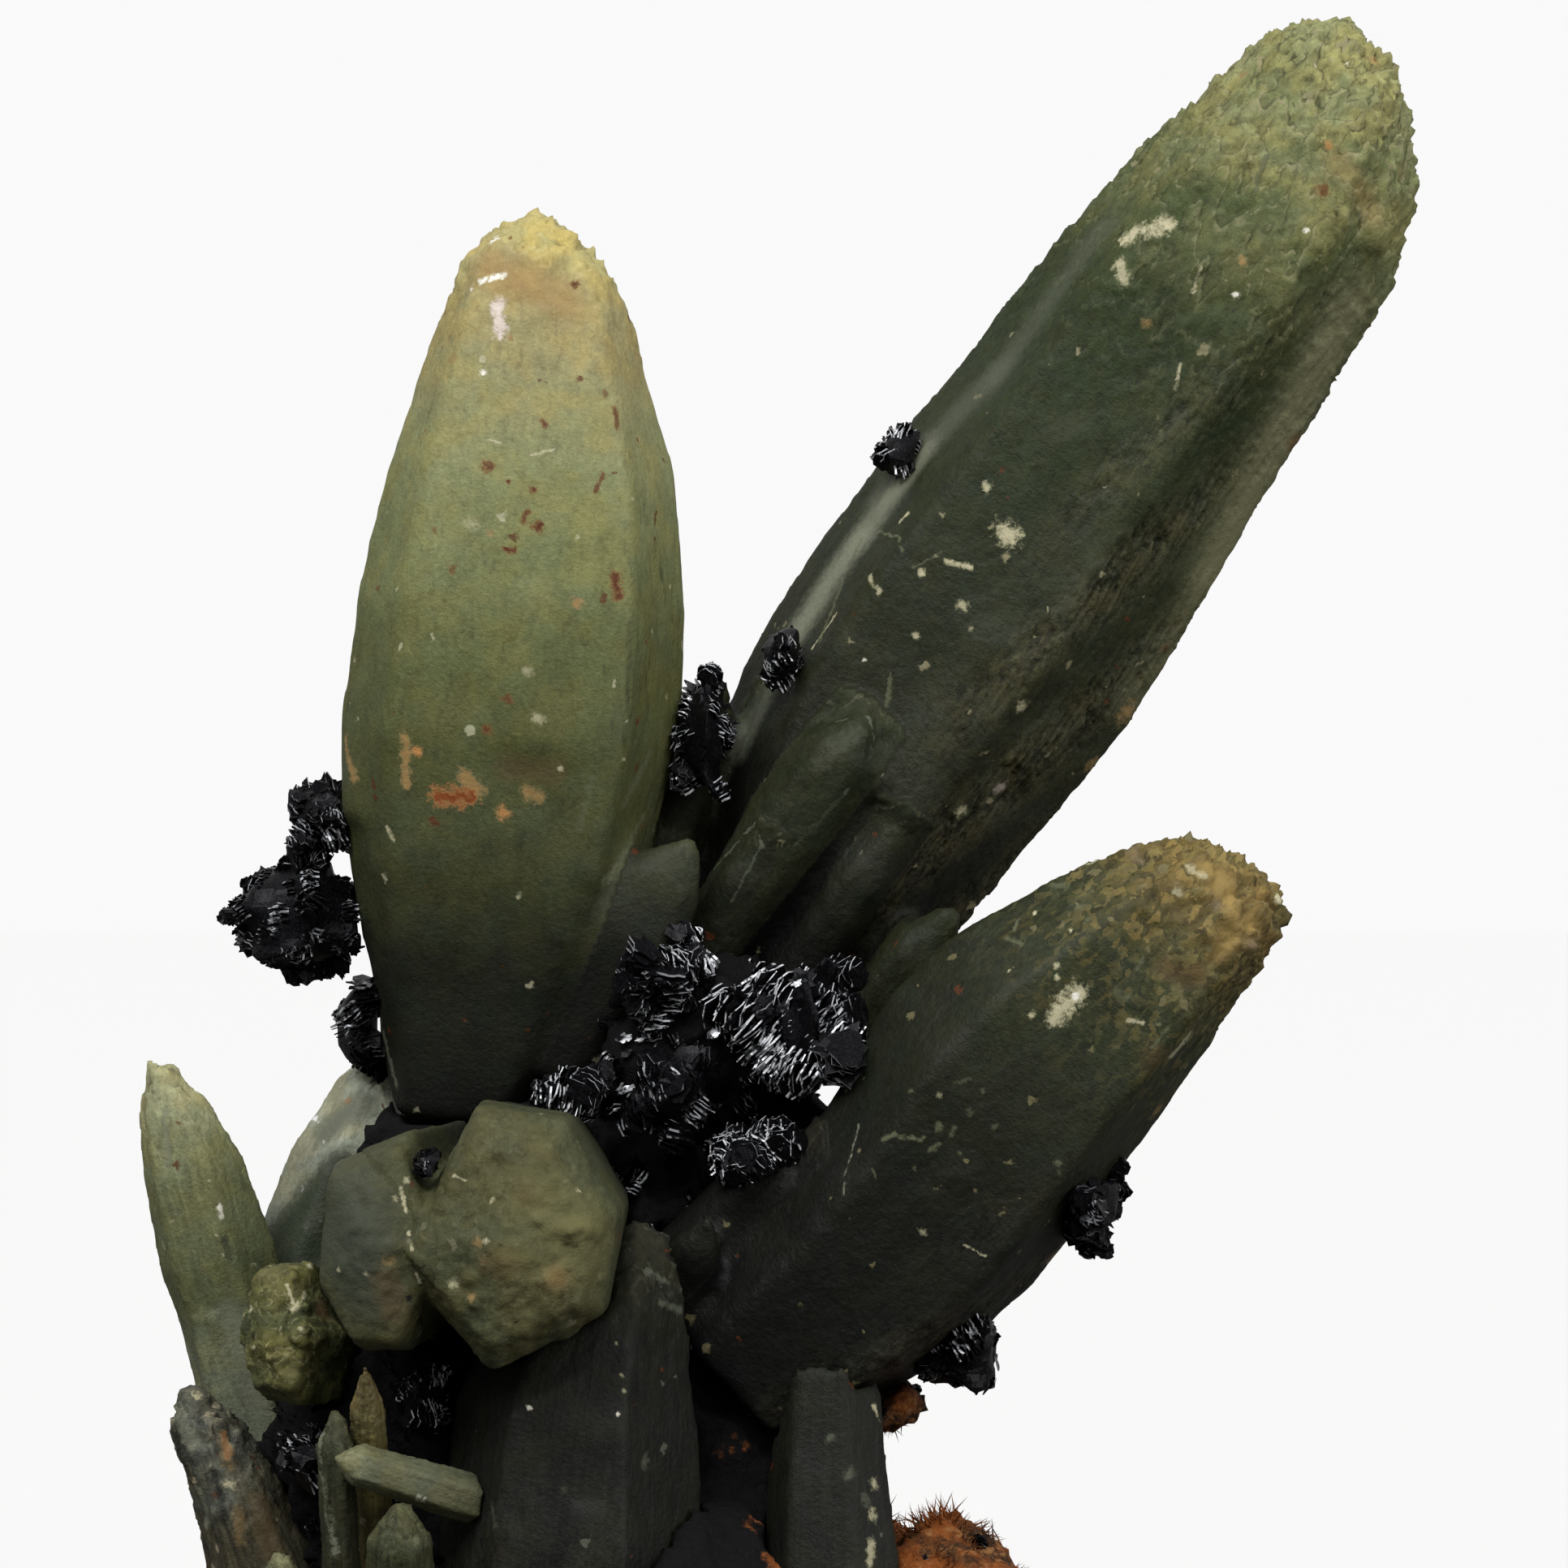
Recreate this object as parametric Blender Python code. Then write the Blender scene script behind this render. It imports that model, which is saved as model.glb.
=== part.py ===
"""Prase quartz: green quartz crystals and black hematite roses on a matrix that is cut off flat below.

Metres, +Z up, origin at the middle of the flat base, front towards -Y. The sizes below are in millimetres.
A crystal is a six-sided body drawn out along its axis from tip to root. Crystals that grow through each other
are one object. Those that only lean on each other, and the roses on them, keep a thin gap.
"""

import math
import random
from dataclasses import dataclass, field

import bmesh
import bpy
from mathutils import Matrix, Vector, noise

MM = 0.001
SPECIMEN = "prase_quartz"

# Driving sizes, in millimetres
GAP = 0.3                 # between pieces that touch
LEDGE_RISE = 0.45         # how far a growth ledge stands out of a crystal's face
POINT_RISE = 0.6          # how far the small points stand out near a tip
BURIED = 0.15             # how far below the face the root of a point or ledge starts
BLUNTNESS = 0.45          # the end of a point or ledge, as a share of its root
FIRST_POINT = 0.8         # how far from the tip the first small point sits
POINT_LENGTHS = (2.4, 3.2)   # a point's length, as a share of its radius
LEDGE_RADII = (2.4, 3.8)
LEDGE_LENGTHS = (10.0, 16.0)
LEDGE_FLATNESS = 0.35     # a ledge's thickness, as a share of its width
PLATE_RADII = (0.52, 0.64)   # a rose's plates, as a share of the rose's radius
PLATE_TAPER = 0.85        # a plate's smaller face, as a share of its larger one
BASE_SIZE = (68.0, 52.0, 50.0)   # the foot of the matrix, before its lower half is cut off
CORE_SIZE = (32.0, 24.0, 51.0)   # the middle of the matrix, which carries the large crystals

WELD = 0.000002           # metres: points closer than this are one
FLAT_ENOUGH = math.radians(0.6)   # faces that turn less than this are one

# Colour, roughness and metallic value of each kind of piece
FINISHES = {
    "pale_prase": ((0.22, 0.25, 0.13), 0.45, 0.0),
    "dark_prase": ((0.055, 0.07, 0.04), 0.4, 0.0),
    "slate_prase": ((0.045, 0.055, 0.048), 0.4, 0.0),
    "tan_prase": ((0.20, 0.16, 0.08), 0.6, 0.0),
    "hematite": ((0.03, 0.03, 0.032), 0.25, 0.85),
    "matrix_rock": ((0.07, 0.04, 0.022), 0.9, 0.0),
}

EVEN_CORNERS = (0.0, 60.0, 120.0, 180.0, 240.0, 300.0)
MOSTLY_SIDEWAYS = 0.6     # a crystal that points more to the front than this has its right along +X
GOLDEN_TURN = 137.5       # degrees from one petal or point to the next on a spiral
BUMPS_PER_LUMP = 4.2      # how fine the roughness of a lump of rock is


@dataclass
class Crystal:
    """One crystal. Each station is a distance from the tip, and how far the body reaches left and right there."""

    tip: tuple
    root: tuple
    stations: tuple
    corners: tuple = EVEN_CORNERS   # the corners' angles, 270 at the front
    depth: float = 0.86             # front to back, as a share of the width
    points: int = 0                 # small points that crowd the tip
    point_size: float = 1.6
    point_zone: float = 14.0        # how far from the tip the points reach
    ledges: int = 0                 # growth ledges on the front and back faces
    ledge_zone: tuple = (10.0, 50.0)
    seed: int = 1
    blades: list = field(default_factory=list)   # smaller crystals that grow out of this one

    def __post_init__(self):
        self.start, end = Vector(self.tip), Vector(self.root)
        self.length = (end - self.start).length
        self.axis = (end - self.start).normalized()
        across = self.axis.cross(Vector((0, 1, 0)))
        self.right = across.normalized() if across.length > MOSTLY_SIDEWAYS else Vector((1, 0, 0))
        self.back = self.right.cross(self.axis).normalized()
        self.right = self.axis.cross(self.back).normalized()
        self.widest_cos = max(abs(math.cos(math.radians(a))) for a in self.corners)
        self.widest_sin = max(abs(math.sin(math.radians(a))) for a in self.corners)

    def reach(self, along):
        """Left and right reach at a distance from the tip."""
        before = self.stations[0]
        for after in self.stations:
            if along <= after[0]:
                share = (along - before[0]) / max(after[0] - before[0], 1e-6)
                return tuple(before[i] + share * (after[i] - before[i]) for i in (1, 2))
            before = after
        return before[1:]

    def corner(self, along, angle, grow=0.0):
        """The point of the section at a distance from the tip, at an angle around the axis."""
        left, right = self.reach(along)
        half = (left + right) / 2 + grow
        deep = (left + right) / 2 * self.depth + grow
        across = (right - left) / 2 + half * math.cos(math.radians(angle)) / self.widest_cos
        behind = deep * math.sin(math.radians(angle)) / self.widest_sin
        return self.start + self.axis * along + self.right * across + self.back * behind

    def on_face(self, along, face, share):
        """A point on a face, at a share of the way between its two corners, and the face's outward direction."""
        first, second = (self.corners[k % len(self.corners)] for k in (face, face + 1))
        a, b = self.corner(along, first), self.corner(along, second)
        ahead = self.corner(along + 1.0, first) - a
        normal = (b - a).cross(ahead).normalized()
        if normal.dot(a + b - 2 * (self.start + self.axis * along)) < 0:
            normal.negate()
        return a.lerp(b, share), normal


def make_finish(name):
    """A plain material with the colour, roughness and metallic value of one kind of piece."""
    colour, roughness, metallic = FINISHES[name]
    material = bpy.data.materials.new(name)
    material.use_nodes = True
    shader = material.node_tree.nodes["Principled BSDF"]
    shader.inputs["Base Color"].default_value = (*colour, 1.0)
    shader.inputs["Roughness"].default_value = roughness
    shader.inputs["Metallic"].default_value = metallic
    return material


def to_object(mesh_data, name, collection):
    """Turns a bmesh in millimetres into an object in metres."""
    bmesh.ops.scale(mesh_data, vec=(MM, MM, MM), verts=mesh_data.verts)
    bmesh.ops.recalc_face_normals(mesh_data, faces=mesh_data.faces)
    mesh = bpy.data.meshes.new(name)
    mesh_data.to_mesh(mesh)
    mesh_data.free()
    made = bpy.data.objects.new(name, mesh)
    collection.objects.link(made)
    return made


def as_cutter(made):
    """Marks an object as a working shape that isn't part of the specimen."""
    made.hide_render = True
    made.display_type = "WIRE"
    return made


def loft_crystal(crystal, grow=0.0):
    """Draws a six-sided section out from the root to the tip, station by station, and closes it to a point."""
    body = bmesh.new()
    stations = [station[0] for station in reversed(crystal.stations)]
    stations[0] += grow
    made = bmesh.ops.create_circle(body, cap_ends=True, segments=len(crystal.corners), radius=1.0)
    for vert, angle in zip(made["verts"], crystal.corners):
        vert.co = crystal.corner(stations[0], angle, grow)
    root = cap = body.faces[:][0]
    for along in stations[1:]:
        extruded = bmesh.ops.extrude_face_region(body, geom=[cap])["geom"]
        if cap.is_valid and cap is not root:
            bmesh.ops.delete(body, geom=[cap], context="FACES_ONLY")
        cap = next(item for item in extruded if isinstance(item, bmesh.types.BMFace))
        for loop, angle in zip(cap.loops, crystal.corners):
            loop.vert.co = crystal.corner(along, angle, grow)
    bmesh.ops.pointmerge(body, verts=list(cap.verts), merge_co=crystal.start - crystal.axis * grow)
    bmesh.ops.triangulate(body, faces=body.faces[:])
    return body


def turn_to(direction, upright):
    """A rotation whose Z runs along direction and whose X lies as near as it can to upright."""
    z = direction.normalized()
    x = (upright - z * upright.dot(z)).normalized()
    return Matrix((x, z.cross(x), z)).transposed().to_4x4()


def small_crystal(skin, outward, towards_tip, radius, length, rise, flatness=1.0, grow=0.0):
    """A small blunt crystal on a face: its root is buried and its end stands out of the face by rise."""
    end_height = rise - BLUNTNESS * radius * flatness
    root_height = -BURIED - radius * flatness
    tilt = math.asin(min((end_height - root_height) / length, 0.9))
    along = (towards_tip - outward * towards_tip.dot(outward)).normalized()
    direction = along * math.cos(tilt) + outward * math.sin(tilt)
    middle = skin + outward * end_height - direction * length / 2
    body = bmesh.new()
    thinner = Matrix.Diagonal(((radius * flatness + grow) / (radius + grow), 1.0, 1.0, 1.0))
    bmesh.ops.create_cone(body, cap_ends=True, segments=6, radius1=radius + grow, depth=length + 2 * grow,
                          radius2=radius * BLUNTNESS + grow,
                          matrix=Matrix.Translation(middle) @ turn_to(direction, outward) @ thinner)
    return body


def crowd_tip(crystal, rng, grow):
    """The small points around a tip, set on a spiral, closest together near the end."""
    shapes = []
    for k in range(crystal.points):
        along = FIRST_POINT + crystal.point_zone * k / crystal.points
        around = k * GOLDEN_TURN / 360 * len(crystal.corners) + rng.uniform(-0.2, 0.2)
        face = math.floor(around)
        size = crystal.point_size * rng.uniform(0.8, 1.25)
        skin, outward = crystal.on_face(along, face, around - face)
        rise = POINT_RISE * rng.uniform(0.6, 1.2)
        length = size * rng.uniform(*POINT_LENGTHS)
        shapes.append(small_crystal(skin, outward, -crystal.axis, size, length, rise, grow=grow))
    return shapes


def add_ledges(crystal, rng, grow):
    """The growth ledges: long flat crystals that lie in the faces, all of them pointing to the tip."""
    shapes = []
    near, far = crystal.ledge_zone
    for k in range(crystal.ledges):
        along = near + (far - near) * (k + rng.uniform(0.1, 0.9)) / crystal.ledges
        face = (k * 2 + k // 3) % len(crystal.corners)
        spot, outward = crystal.on_face(along, face, rng.uniform(0.25, 0.75))
        radius, length = rng.uniform(*LEDGE_RADII), rng.uniform(*LEDGE_LENGTHS)
        shapes.append(small_crystal(spot, outward, -crystal.axis, radius, length, LEDGE_RISE, LEDGE_FLATNESS, grow))
    return shapes


def crystal_shapes(crystal, grow=0.0):
    """The working shapes of a crystal, its blades, and their points and ledges."""
    rng = random.Random(crystal.seed)
    shapes = [loft_crystal(one, grow) for one in (crystal, *crystal.blades)]
    for one in (crystal, *crystal.blades):
        shapes += crowd_tip(one, rng, grow) + add_ledges(one, rng, grow)
    return shapes


def join_shapes(body, shapes, collection):
    """Fuses working shapes into a body with one exact union."""
    if not shapes:
        return body
    pile = bpy.data.collections.new(body.name + "_shapes")
    collection.children.link(pile)
    for k, shape in enumerate(shapes):
        as_cutter(to_object(shape, f"{body.name}_shape_{k}", pile))
    return apply_boolean(body, "UNION", pile)


def apply_boolean(body, operation, pile):
    """Applies one exact Boolean between a body and a collection of working shapes, then clears the shapes away."""
    step = body.modifiers.new("join_or_cut", "BOOLEAN")
    step.operation, step.solver = operation, "EXACT"
    step.operand_type, step.collection = "COLLECTION", pile
    step.use_self = operation == "UNION"
    bpy.context.view_layer.update()
    evaluated = body.evaluated_get(bpy.context.evaluated_depsgraph_get())
    result = bpy.data.meshes.new_from_object(evaluated)
    body.modifiers.clear()
    body.data = result
    for shape in list(pile.objects):
        bpy.data.objects.remove(shape)
    bpy.data.collections.remove(pile)
    keep_largest(body.data)
    return body


def keep_largest(mesh):
    """Cleans a mesh and drops every loose bit but the largest."""
    body = bmesh.new()
    body.from_mesh(mesh)
    bmesh.ops.remove_doubles(body, verts=body.verts, dist=WELD)
    bmesh.ops.dissolve_degenerate(body, edges=body.edges, dist=WELD)
    bmesh.ops.dissolve_limit(body, angle_limit=FLAT_ENOUGH, verts=body.verts, edges=body.edges)
    bmesh.ops.triangulate(body, faces=body.faces[:])
    unseen, parts = set(body.verts), []
    while unseen:
        queue = [unseen.pop()]
        part = set(queue)
        while queue:
            for edge in queue.pop().link_edges:
                for vert in edge.verts:
                    if vert in unseen:
                        unseen.discard(vert)
                        part.add(vert)
                        queue.append(vert)
        parts.append(part)
    largest = max(parts, key=spread)
    bmesh.ops.delete(body, geom=[v for v in body.verts if v not in largest], context="VERTS")
    bmesh.ops.recalc_face_normals(body, faces=body.faces)
    body.to_mesh(mesh)
    body.free()


def spread(part):
    """The volume of the box around some vertices."""
    sides = [max(v.co[i] for v in part) - min(v.co[i] for v in part) for i in range(3)]
    return sides[0] * sides[1] * sides[2]


def carve(body, shapes, collection):
    """Cuts out of a body the working shapes that come near it."""
    around = box_of([vert.co / MM for vert in body.data.vertices])
    near = [shape for shape in shapes if boxes_meet(around, box_of([vert.co for vert in shape.verts]))]
    if not near:
        return body
    pile = bpy.data.collections.new(body.name + "_cutters")
    collection.children.link(pile)
    for k, shape in enumerate(near):
        as_cutter(to_object(shape, f"{body.name}_cutter_{k}", pile))
    return apply_boolean(body, "DIFFERENCE", pile)


def box_of(points):
    """The lowest and highest value of some points along each axis."""
    return [(min(p[i] for p in points), max(p[i] for p in points)) for i in range(3)]


def boxes_meet(one, other):
    """Whether two boxes overlap."""
    return all(a[0] < b[1] and b[0] < a[1] for a, b in zip(one, other))


def make_crystal(name, crystal, earlier, finish, parts, working):
    """Fuses a crystal with its blades, points and ledges, then cuts away what would run into its neighbours."""
    first, *others = crystal_shapes(crystal)
    body = to_object(first, name, parts)
    join_shapes(body, others, working)
    carve(body, [shape for other in earlier for shape in crystal_shapes(other, GAP)], working)
    body.data.materials.append(finish)
    return body


@dataclass
class Rose:
    """A hematite rose: a small core with thin six-sided plates that stand out all round it like petals."""

    centre: tuple
    radius: float
    plates: int = 7
    thickness: float = 0.9
    core: float = 0.66          # the core's share of the radius
    stretch: tuple = (1.0, 1.0, 1.0)
    seed: int = 1

    def shapes(self, grow=0.0):
        """The core and the plates, each as a working shape."""
        rng = random.Random(self.seed)
        place = Matrix.Translation(Vector(self.centre)) @ Matrix.Diagonal((*self.stretch, 1.0))
        core = bmesh.new()
        bmesh.ops.create_icosphere(core, subdivisions=1, radius=self.radius * self.core + grow, matrix=place)
        made = [core]
        for k in range(self.plates):
            height = 1 - 2 * (k + 0.5) / self.plates
            turn = math.radians(k * GOLDEN_TURN + rng.uniform(-15, 15))
            flat = math.sqrt(1 - height * height)
            out = Vector((flat * math.cos(turn), flat * math.sin(turn), height))
            side = out.cross(Vector((rng.uniform(-1, 1), rng.uniform(-1, 1), rng.uniform(-1, 1)))).normalized()
            radius = self.radius * rng.uniform(*PLATE_RADII)
            middle = out * (self.radius * rng.uniform(0.94, 1.04) - radius)
            plate = bmesh.new()
            bmesh.ops.create_cone(plate, cap_ends=True, segments=6, radius1=radius + grow,
                                  radius2=radius * PLATE_TAPER + grow, depth=self.thickness + 2 * grow,
                                  matrix=place @ Matrix.Translation(middle) @ turn_to(side, out))
            made.append(plate)
        return made


def make_rose(name, rose, crystals, earlier, finish, parts, working):
    """Fuses a rose, then cuts away what would run into the crystals, the matrix or an earlier rose."""
    core, *plates = rose.shapes()
    body = to_object(core, name, parts)
    join_shapes(body, plates, working)
    cutters = [shape for crystal in crystals for shape in crystal_shapes(crystal, GAP)]
    cutters += [lump.shape(GAP) for lump in MATRIX_LUMPS]
    cutters += [shape for other in earlier for shape in other.shapes(GAP)]
    carve(body, cutters, working)
    body.data.materials.append(finish)
    return body


# The three large crystals
UPRIGHT = Crystal(
    tip=(-6.8, -3.0, 122.9), root=(-12.0, 1.0, 52.5), depth=0.84, corners=(8, 58, 120, 186, 226, 312),
    stations=((1.2, 3.4, 2.4), (4, 4.6, 6.2), (7, 5.4, 8.5), (12, 7.4, 10.4), (20, 9.4, 13.2), (30, 11.0, 14.7),
              (40, 11.7, 14.8), (50, 10.4, 13.0), (60, 7.8, 8.6), (70, 5.4, 5.0)),
    points=12, point_zone=9.0, point_size=2.1, ledges=5, ledge_zone=(20.0, 40.0), seed=11,
    blades=[Crystal(tip=(6.9, -6.0, 75.6), root=(-5.0, -1.0, 56.0), depth=0.5,
                    stations=((1.5, 1.6, 1.2), (5, 4.6, 2.8), (10, 6.6, 4.0), (16, 6.0, 4.0), (23, 4.0, 3.0)))],
)
LEANING = Crystal(
    tip=(56.2, 5.0, 138.2), root=(8.0, 9.0, 57.5), depth=0.82, corners=(-7, 53, 113, 173, 233, 293),
    stations=((0.8, 3.6, 3.8), (4, 4.2, 7.8), (9, 5.7, 11.7), (16, 8.2, 13.6), (25, 10.2, 13.8), (40, 12.5, 13.9),
              (55, 14.5, 14.0), (65, 14.6, 12.5), (75, 13.3, 11.0), (85, 9.8, 8.4), (93.5, 5.6, 6.0)),
    points=17, point_zone=20.0, point_size=2.5, ledges=9, ledge_zone=(28.0, 60.0), seed=23,
    blades=[
        Crystal(tip=(19.6, -4.0, 84.6), root=(2.0, 3.0, 60.0), depth=0.7,
                stations=((0.8, 2.0, 1.6), (4, 3.2, 3.0), (10, 3.6, 3.6), (28, 3.0, 3.0))),
        Crystal(tip=(12.0, -3.6, 75.8), root=(3.0, 2.0, 61.0), depth=0.7,
                stations=((1, 0.9, 0.9), (5, 1.7, 1.7), (16, 1.9, 1.9))),
        Crystal(tip=(22.4, -3.2, 77.0), root=(10.0, 3.0, 59.0), depth=0.7,
                stations=((1, 1.3, 1.2), (6, 2.3, 2.4), (20, 2.4, 2.6))),
        Crystal(tip=(26.8, -2.0, 70.4), root=(16.0, 6.0, 57.0), depth=0.8,
                stations=((1, 1.6, 1.8), (6, 3.0, 3.2), (16, 3.2, 3.4))),
        Crystal(tip=(8.8, 4.0, 88.0), root=(1.0, 6.0, 66.0), depth=0.8,
                stations=((1, 1.2, 1.2), (6, 2.4, 2.4), (20, 2.8, 2.8))),
    ],
)
RIGHT = Crystal(
    tip=(49.2, -13.0, 71.8), root=(8.5, -4.0, 34.5), depth=0.86, corners=(20, 72, 128, 190, 242, 310),
    stations=((0.8, 4.2, 2.0), (3, 6.8, 4.0), (7, 9.2, 5.2), (12, 11.2, 7.2), (20, 13.0, 9.0), (27, 12.9, 10.7),
              (35, 10.2, 11.9), (44, 8.4, 11.5), (56, 6.6, 8.4)),
    points=15, point_zone=12.0, point_size=2.4, ledges=5, ledge_zone=(20.0, 40.0), seed=37,
    blades=[
        Crystal(tip=(15.5, -9.5, 52.5), root=(3.0, -3.0, 39.0), depth=0.7,
                stations=((1, 1.8, 1.6), (6, 3.6, 3.4), (17, 4.0, 4.0))),
        Crystal(tip=(7.6, -13.0, 46.8), root=(3.5, -6.0, 38.0), depth=0.7,
                stations=((1, 1.3, 1.2), (4, 2.2, 2.2), (10, 2.4, 2.6))),
    ],
)

# The crystals in front and below
FRONT_TWIN = Crystal(
    tip=(-8.0, -31.0, 45.4), root=(-6.5, -3.0, 46.0), depth=1.17, corners=(11, 60, 104, 188, 262, 326),
    stations=((0.3, 4.2, 4.2), (2.0, 6.6, 6.6), (5, 8.3, 8.4), (10, 8.7, 8.7), (28, 7.6, 7.6)),
    points=4, point_zone=5.0, point_size=1.2, seed=41,
    blades=[Crystal(tip=(-17.9, -28.4, 45.0), root=(-13.5, -3.0, 46.0), depth=1.55,
                    corners=(0, 68, 140, 202, 248, 292),
                    stations=((0.3, 3.2, 3.2), (2.0, 4.4, 4.8), (6, 5.0, 5.6), (25, 4.6, 5.2)))],
)
LOWER_FRONT = Crystal(
    tip=(1.8, -15.0, 46.0), root=(-4.4, -12.0, 8.0), depth=0.84, corners=(4, 58, 122, 178, 238, 294),
    stations=((0.8, 2.6, 2.2), (4, 5.8, 3.8), (9, 9.4, 5.4), (15, 11.4, 7.2), (24, 11.2, 9.0), (38, 9.2, 10.0)),
    points=7, point_zone=6.0, point_size=1.8, ledges=3, ledge_zone=(12.0, 22.0), seed=43,
)
LOWER_RIGHT = Crystal(
    tip=(16.8, -9.0, 38.5), root=(16.4, -11.0, 8.0), depth=0.8, corners=(-10, 50, 115, 170, 230, 290),
    stations=((0.6, 2.6, 2.2), (4, 4.4, 3.4), (12, 5.0, 4.2), (20, 5.2, 5.2), (31, 5.0, 5.0)),
    seed=47,
)
LEFT_BLADE = Crystal(
    tip=(-35.7, -4.0, 57.9), root=(-24.0, 1.0, 14.0), depth=0.8, corners=(-5, 60, 110, 172, 225, 290),
    stations=((1, 0.9, 1.2), (4, 1.8, 3.4), (9, 3.0, 5.0), (16, 3.5, 5.6), (25, 3.1, 5.0), (46, 3.0, 4.4)),
    points=4, point_zone=7.0, point_size=1.3, ledges=3, ledge_zone=(11.0, 20.0), seed=53,
)
ROUND_CRYSTAL = Crystal(
    tip=(-26.0, -17.5, 38.4), root=(-20.0, -4.0, 36.0), depth=1.5,
    stations=((0.3, 1.7, 1.7), (1.6, 2.8, 2.8), (4, 3.4, 3.4), (15, 2.8, 2.8)),
    points=3, point_zone=4.0, point_size=1.5, seed=59,
)
BACK_LEFT = Crystal(
    tip=(-17.5, 5.0, 59.0), root=(-27.0, 3.0, 34.0), depth=0.9, corners=(15, 75, 135, 195, 255, 315),
    stations=((1, 1.2, 2.2), (4, 2.9, 3.6), (10, 4.4, 5.0), (26, 4.6, 5.4)), seed=61,
)

# The small crystals at the lower left
LEFT_STUB = Crystal(
    tip=(-32.8, -9.0, 33.0), root=(-25.0, -3.0, 10.0), depth=0.9,
    stations=((0.4, 1.2, 1.6), (3, 1.6, 2.5), (8, 1.9, 4.2), (14, 3.0, 5.4), (25, 4.0, 5.6)),
    ledges=4, ledge_zone=(4.0, 12.0), seed=67,
)
TAN_POINT = Crystal(
    tip=(-18.4, -20.5, 35.6), root=(-18.0, -9.0, 20.0), depth=0.9,
    stations=((0.8, 0.7, 0.7), (4, 1.3, 1.2), (20, 1.7, 1.6)), seed=71,
)
CROSS_BAR = Crystal(
    tip=(-20.6, -22.5, 29.0), root=(-9.0, -17.0, 25.0), depth=0.8,
    stations=((0.5, 1.2, 1.2), (2, 1.7, 1.7), (13.5, 2.0, 2.0)), seed=73,
)
LEFT_COLUMN = Crystal(
    tip=(-20.8, -18.4, 32.2), root=(-19.8, -11.0, 6.0), depth=0.9,
    stations=((0.5, 0.8, 0.8), (3, 1.5, 1.3), (27.5, 1.9, 1.7)), seed=79,
)
LOWER_BLOCK = Crystal(
    tip=(-15.8, -24.0, 25.6), root=(-15.5, -13.0, 5.0), depth=0.9,
    stations=((0.6, 1.4, 1.4), (3, 2.4, 2.4), (8, 2.8, 2.7), (23, 3.0, 2.7)), seed=83,
)
PALE_CHIP = Crystal(
    tip=(-25.0, -20.0, 21.4), root=(-23.5, -11.0, 5.0), depth=0.9,
    stations=((0.5, 1.2, 1.2), (3, 2.4, 2.2), (18, 2.8, 2.6)), seed=89,
)

# The crystals on the back, which the photo doesn't show
BACK_TALL = Crystal(
    tip=(4.0, 27.0, 84.0), root=(2.0, 10.0, 44.0), depth=0.9, corners=(10, 65, 125, 185, 245, 308),
    stations=((1, 2.2, 2.0), (5, 4.4, 4.6), (12, 6.0, 6.4), (22, 6.8, 7.0), (43, 6.0, 6.2)),
    points=6, point_zone=7.0, point_size=1.8, ledges=3, ledge_zone=(12.0, 24.0), seed=97,
)
BACK_SIDE = Crystal(
    tip=(31.0, 22.0, 50.0), root=(11.0, 8.0, 32.0), depth=0.88,
    stations=((1, 2.0, 2.0), (5, 4.0, 4.0), (12, 5.4, 5.4), (30, 5.0, 5.0)),
    points=5, point_zone=6.0, point_size=1.7, seed=101,
)
BACK_SHORT = Crystal(
    tip=(-16.0, 24.0, 44.0), root=(-9.0, 10.0, 20.0), depth=0.9,
    stations=((1, 2.0, 2.0), (5, 4.0, 4.0), (12, 5.2, 5.2), (28, 5.0, 5.0)),
    points=5, point_zone=6.0, point_size=1.7, seed=103,
)
BACK_LOW = Crystal(
    tip=(12.0, 25.5, 37.0), root=(9.0, 14.0, 12.0), depth=0.9,
    stations=((1, 1.6, 1.6), (4, 3.2, 3.2), (10, 4.4, 4.4), (27, 4.4, 4.4)),
    points=4, point_zone=5.0, point_size=1.5, seed=107,
)

# Crystals in the order in which they give way to each other: a later one is cut by the earlier ones it meets
CRYSTALS = {
    "upright_crystal": (UPRIGHT, "pale_prase"),
    "right_crystal": (RIGHT, "dark_prase"),
    "leaning_crystal": (LEANING, "dark_prase"),
    "front_crystal": (FRONT_TWIN, "pale_prase"),
    "lower_front_crystal": (LOWER_FRONT, "slate_prase"),
    "lower_right_crystal": (LOWER_RIGHT, "slate_prase"),
    "round_crystal": (ROUND_CRYSTAL, "pale_prase"),
    "left_blade": (LEFT_BLADE, "pale_prase"),
    "back_left_crystal": (BACK_LEFT, "pale_prase"),
    "back_tall_crystal": (BACK_TALL, "dark_prase"),
    "back_side_crystal": (BACK_SIDE, "dark_prase"),
    "back_short_crystal": (BACK_SHORT, "pale_prase"),
    "back_low_crystal": (BACK_LOW, "dark_prase"),
    "tan_point": (TAN_POINT, "tan_prase"),
    "cross_bar": (CROSS_BAR, "pale_prase"),
    "left_column": (LEFT_COLUMN, "pale_prase"),
    "lower_block": (LOWER_BLOCK, "pale_prase"),
    "left_stub": (LEFT_STUB, "tan_prase"),
    "pale_chip": (PALE_CHIP, "pale_prase"),
}

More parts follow.
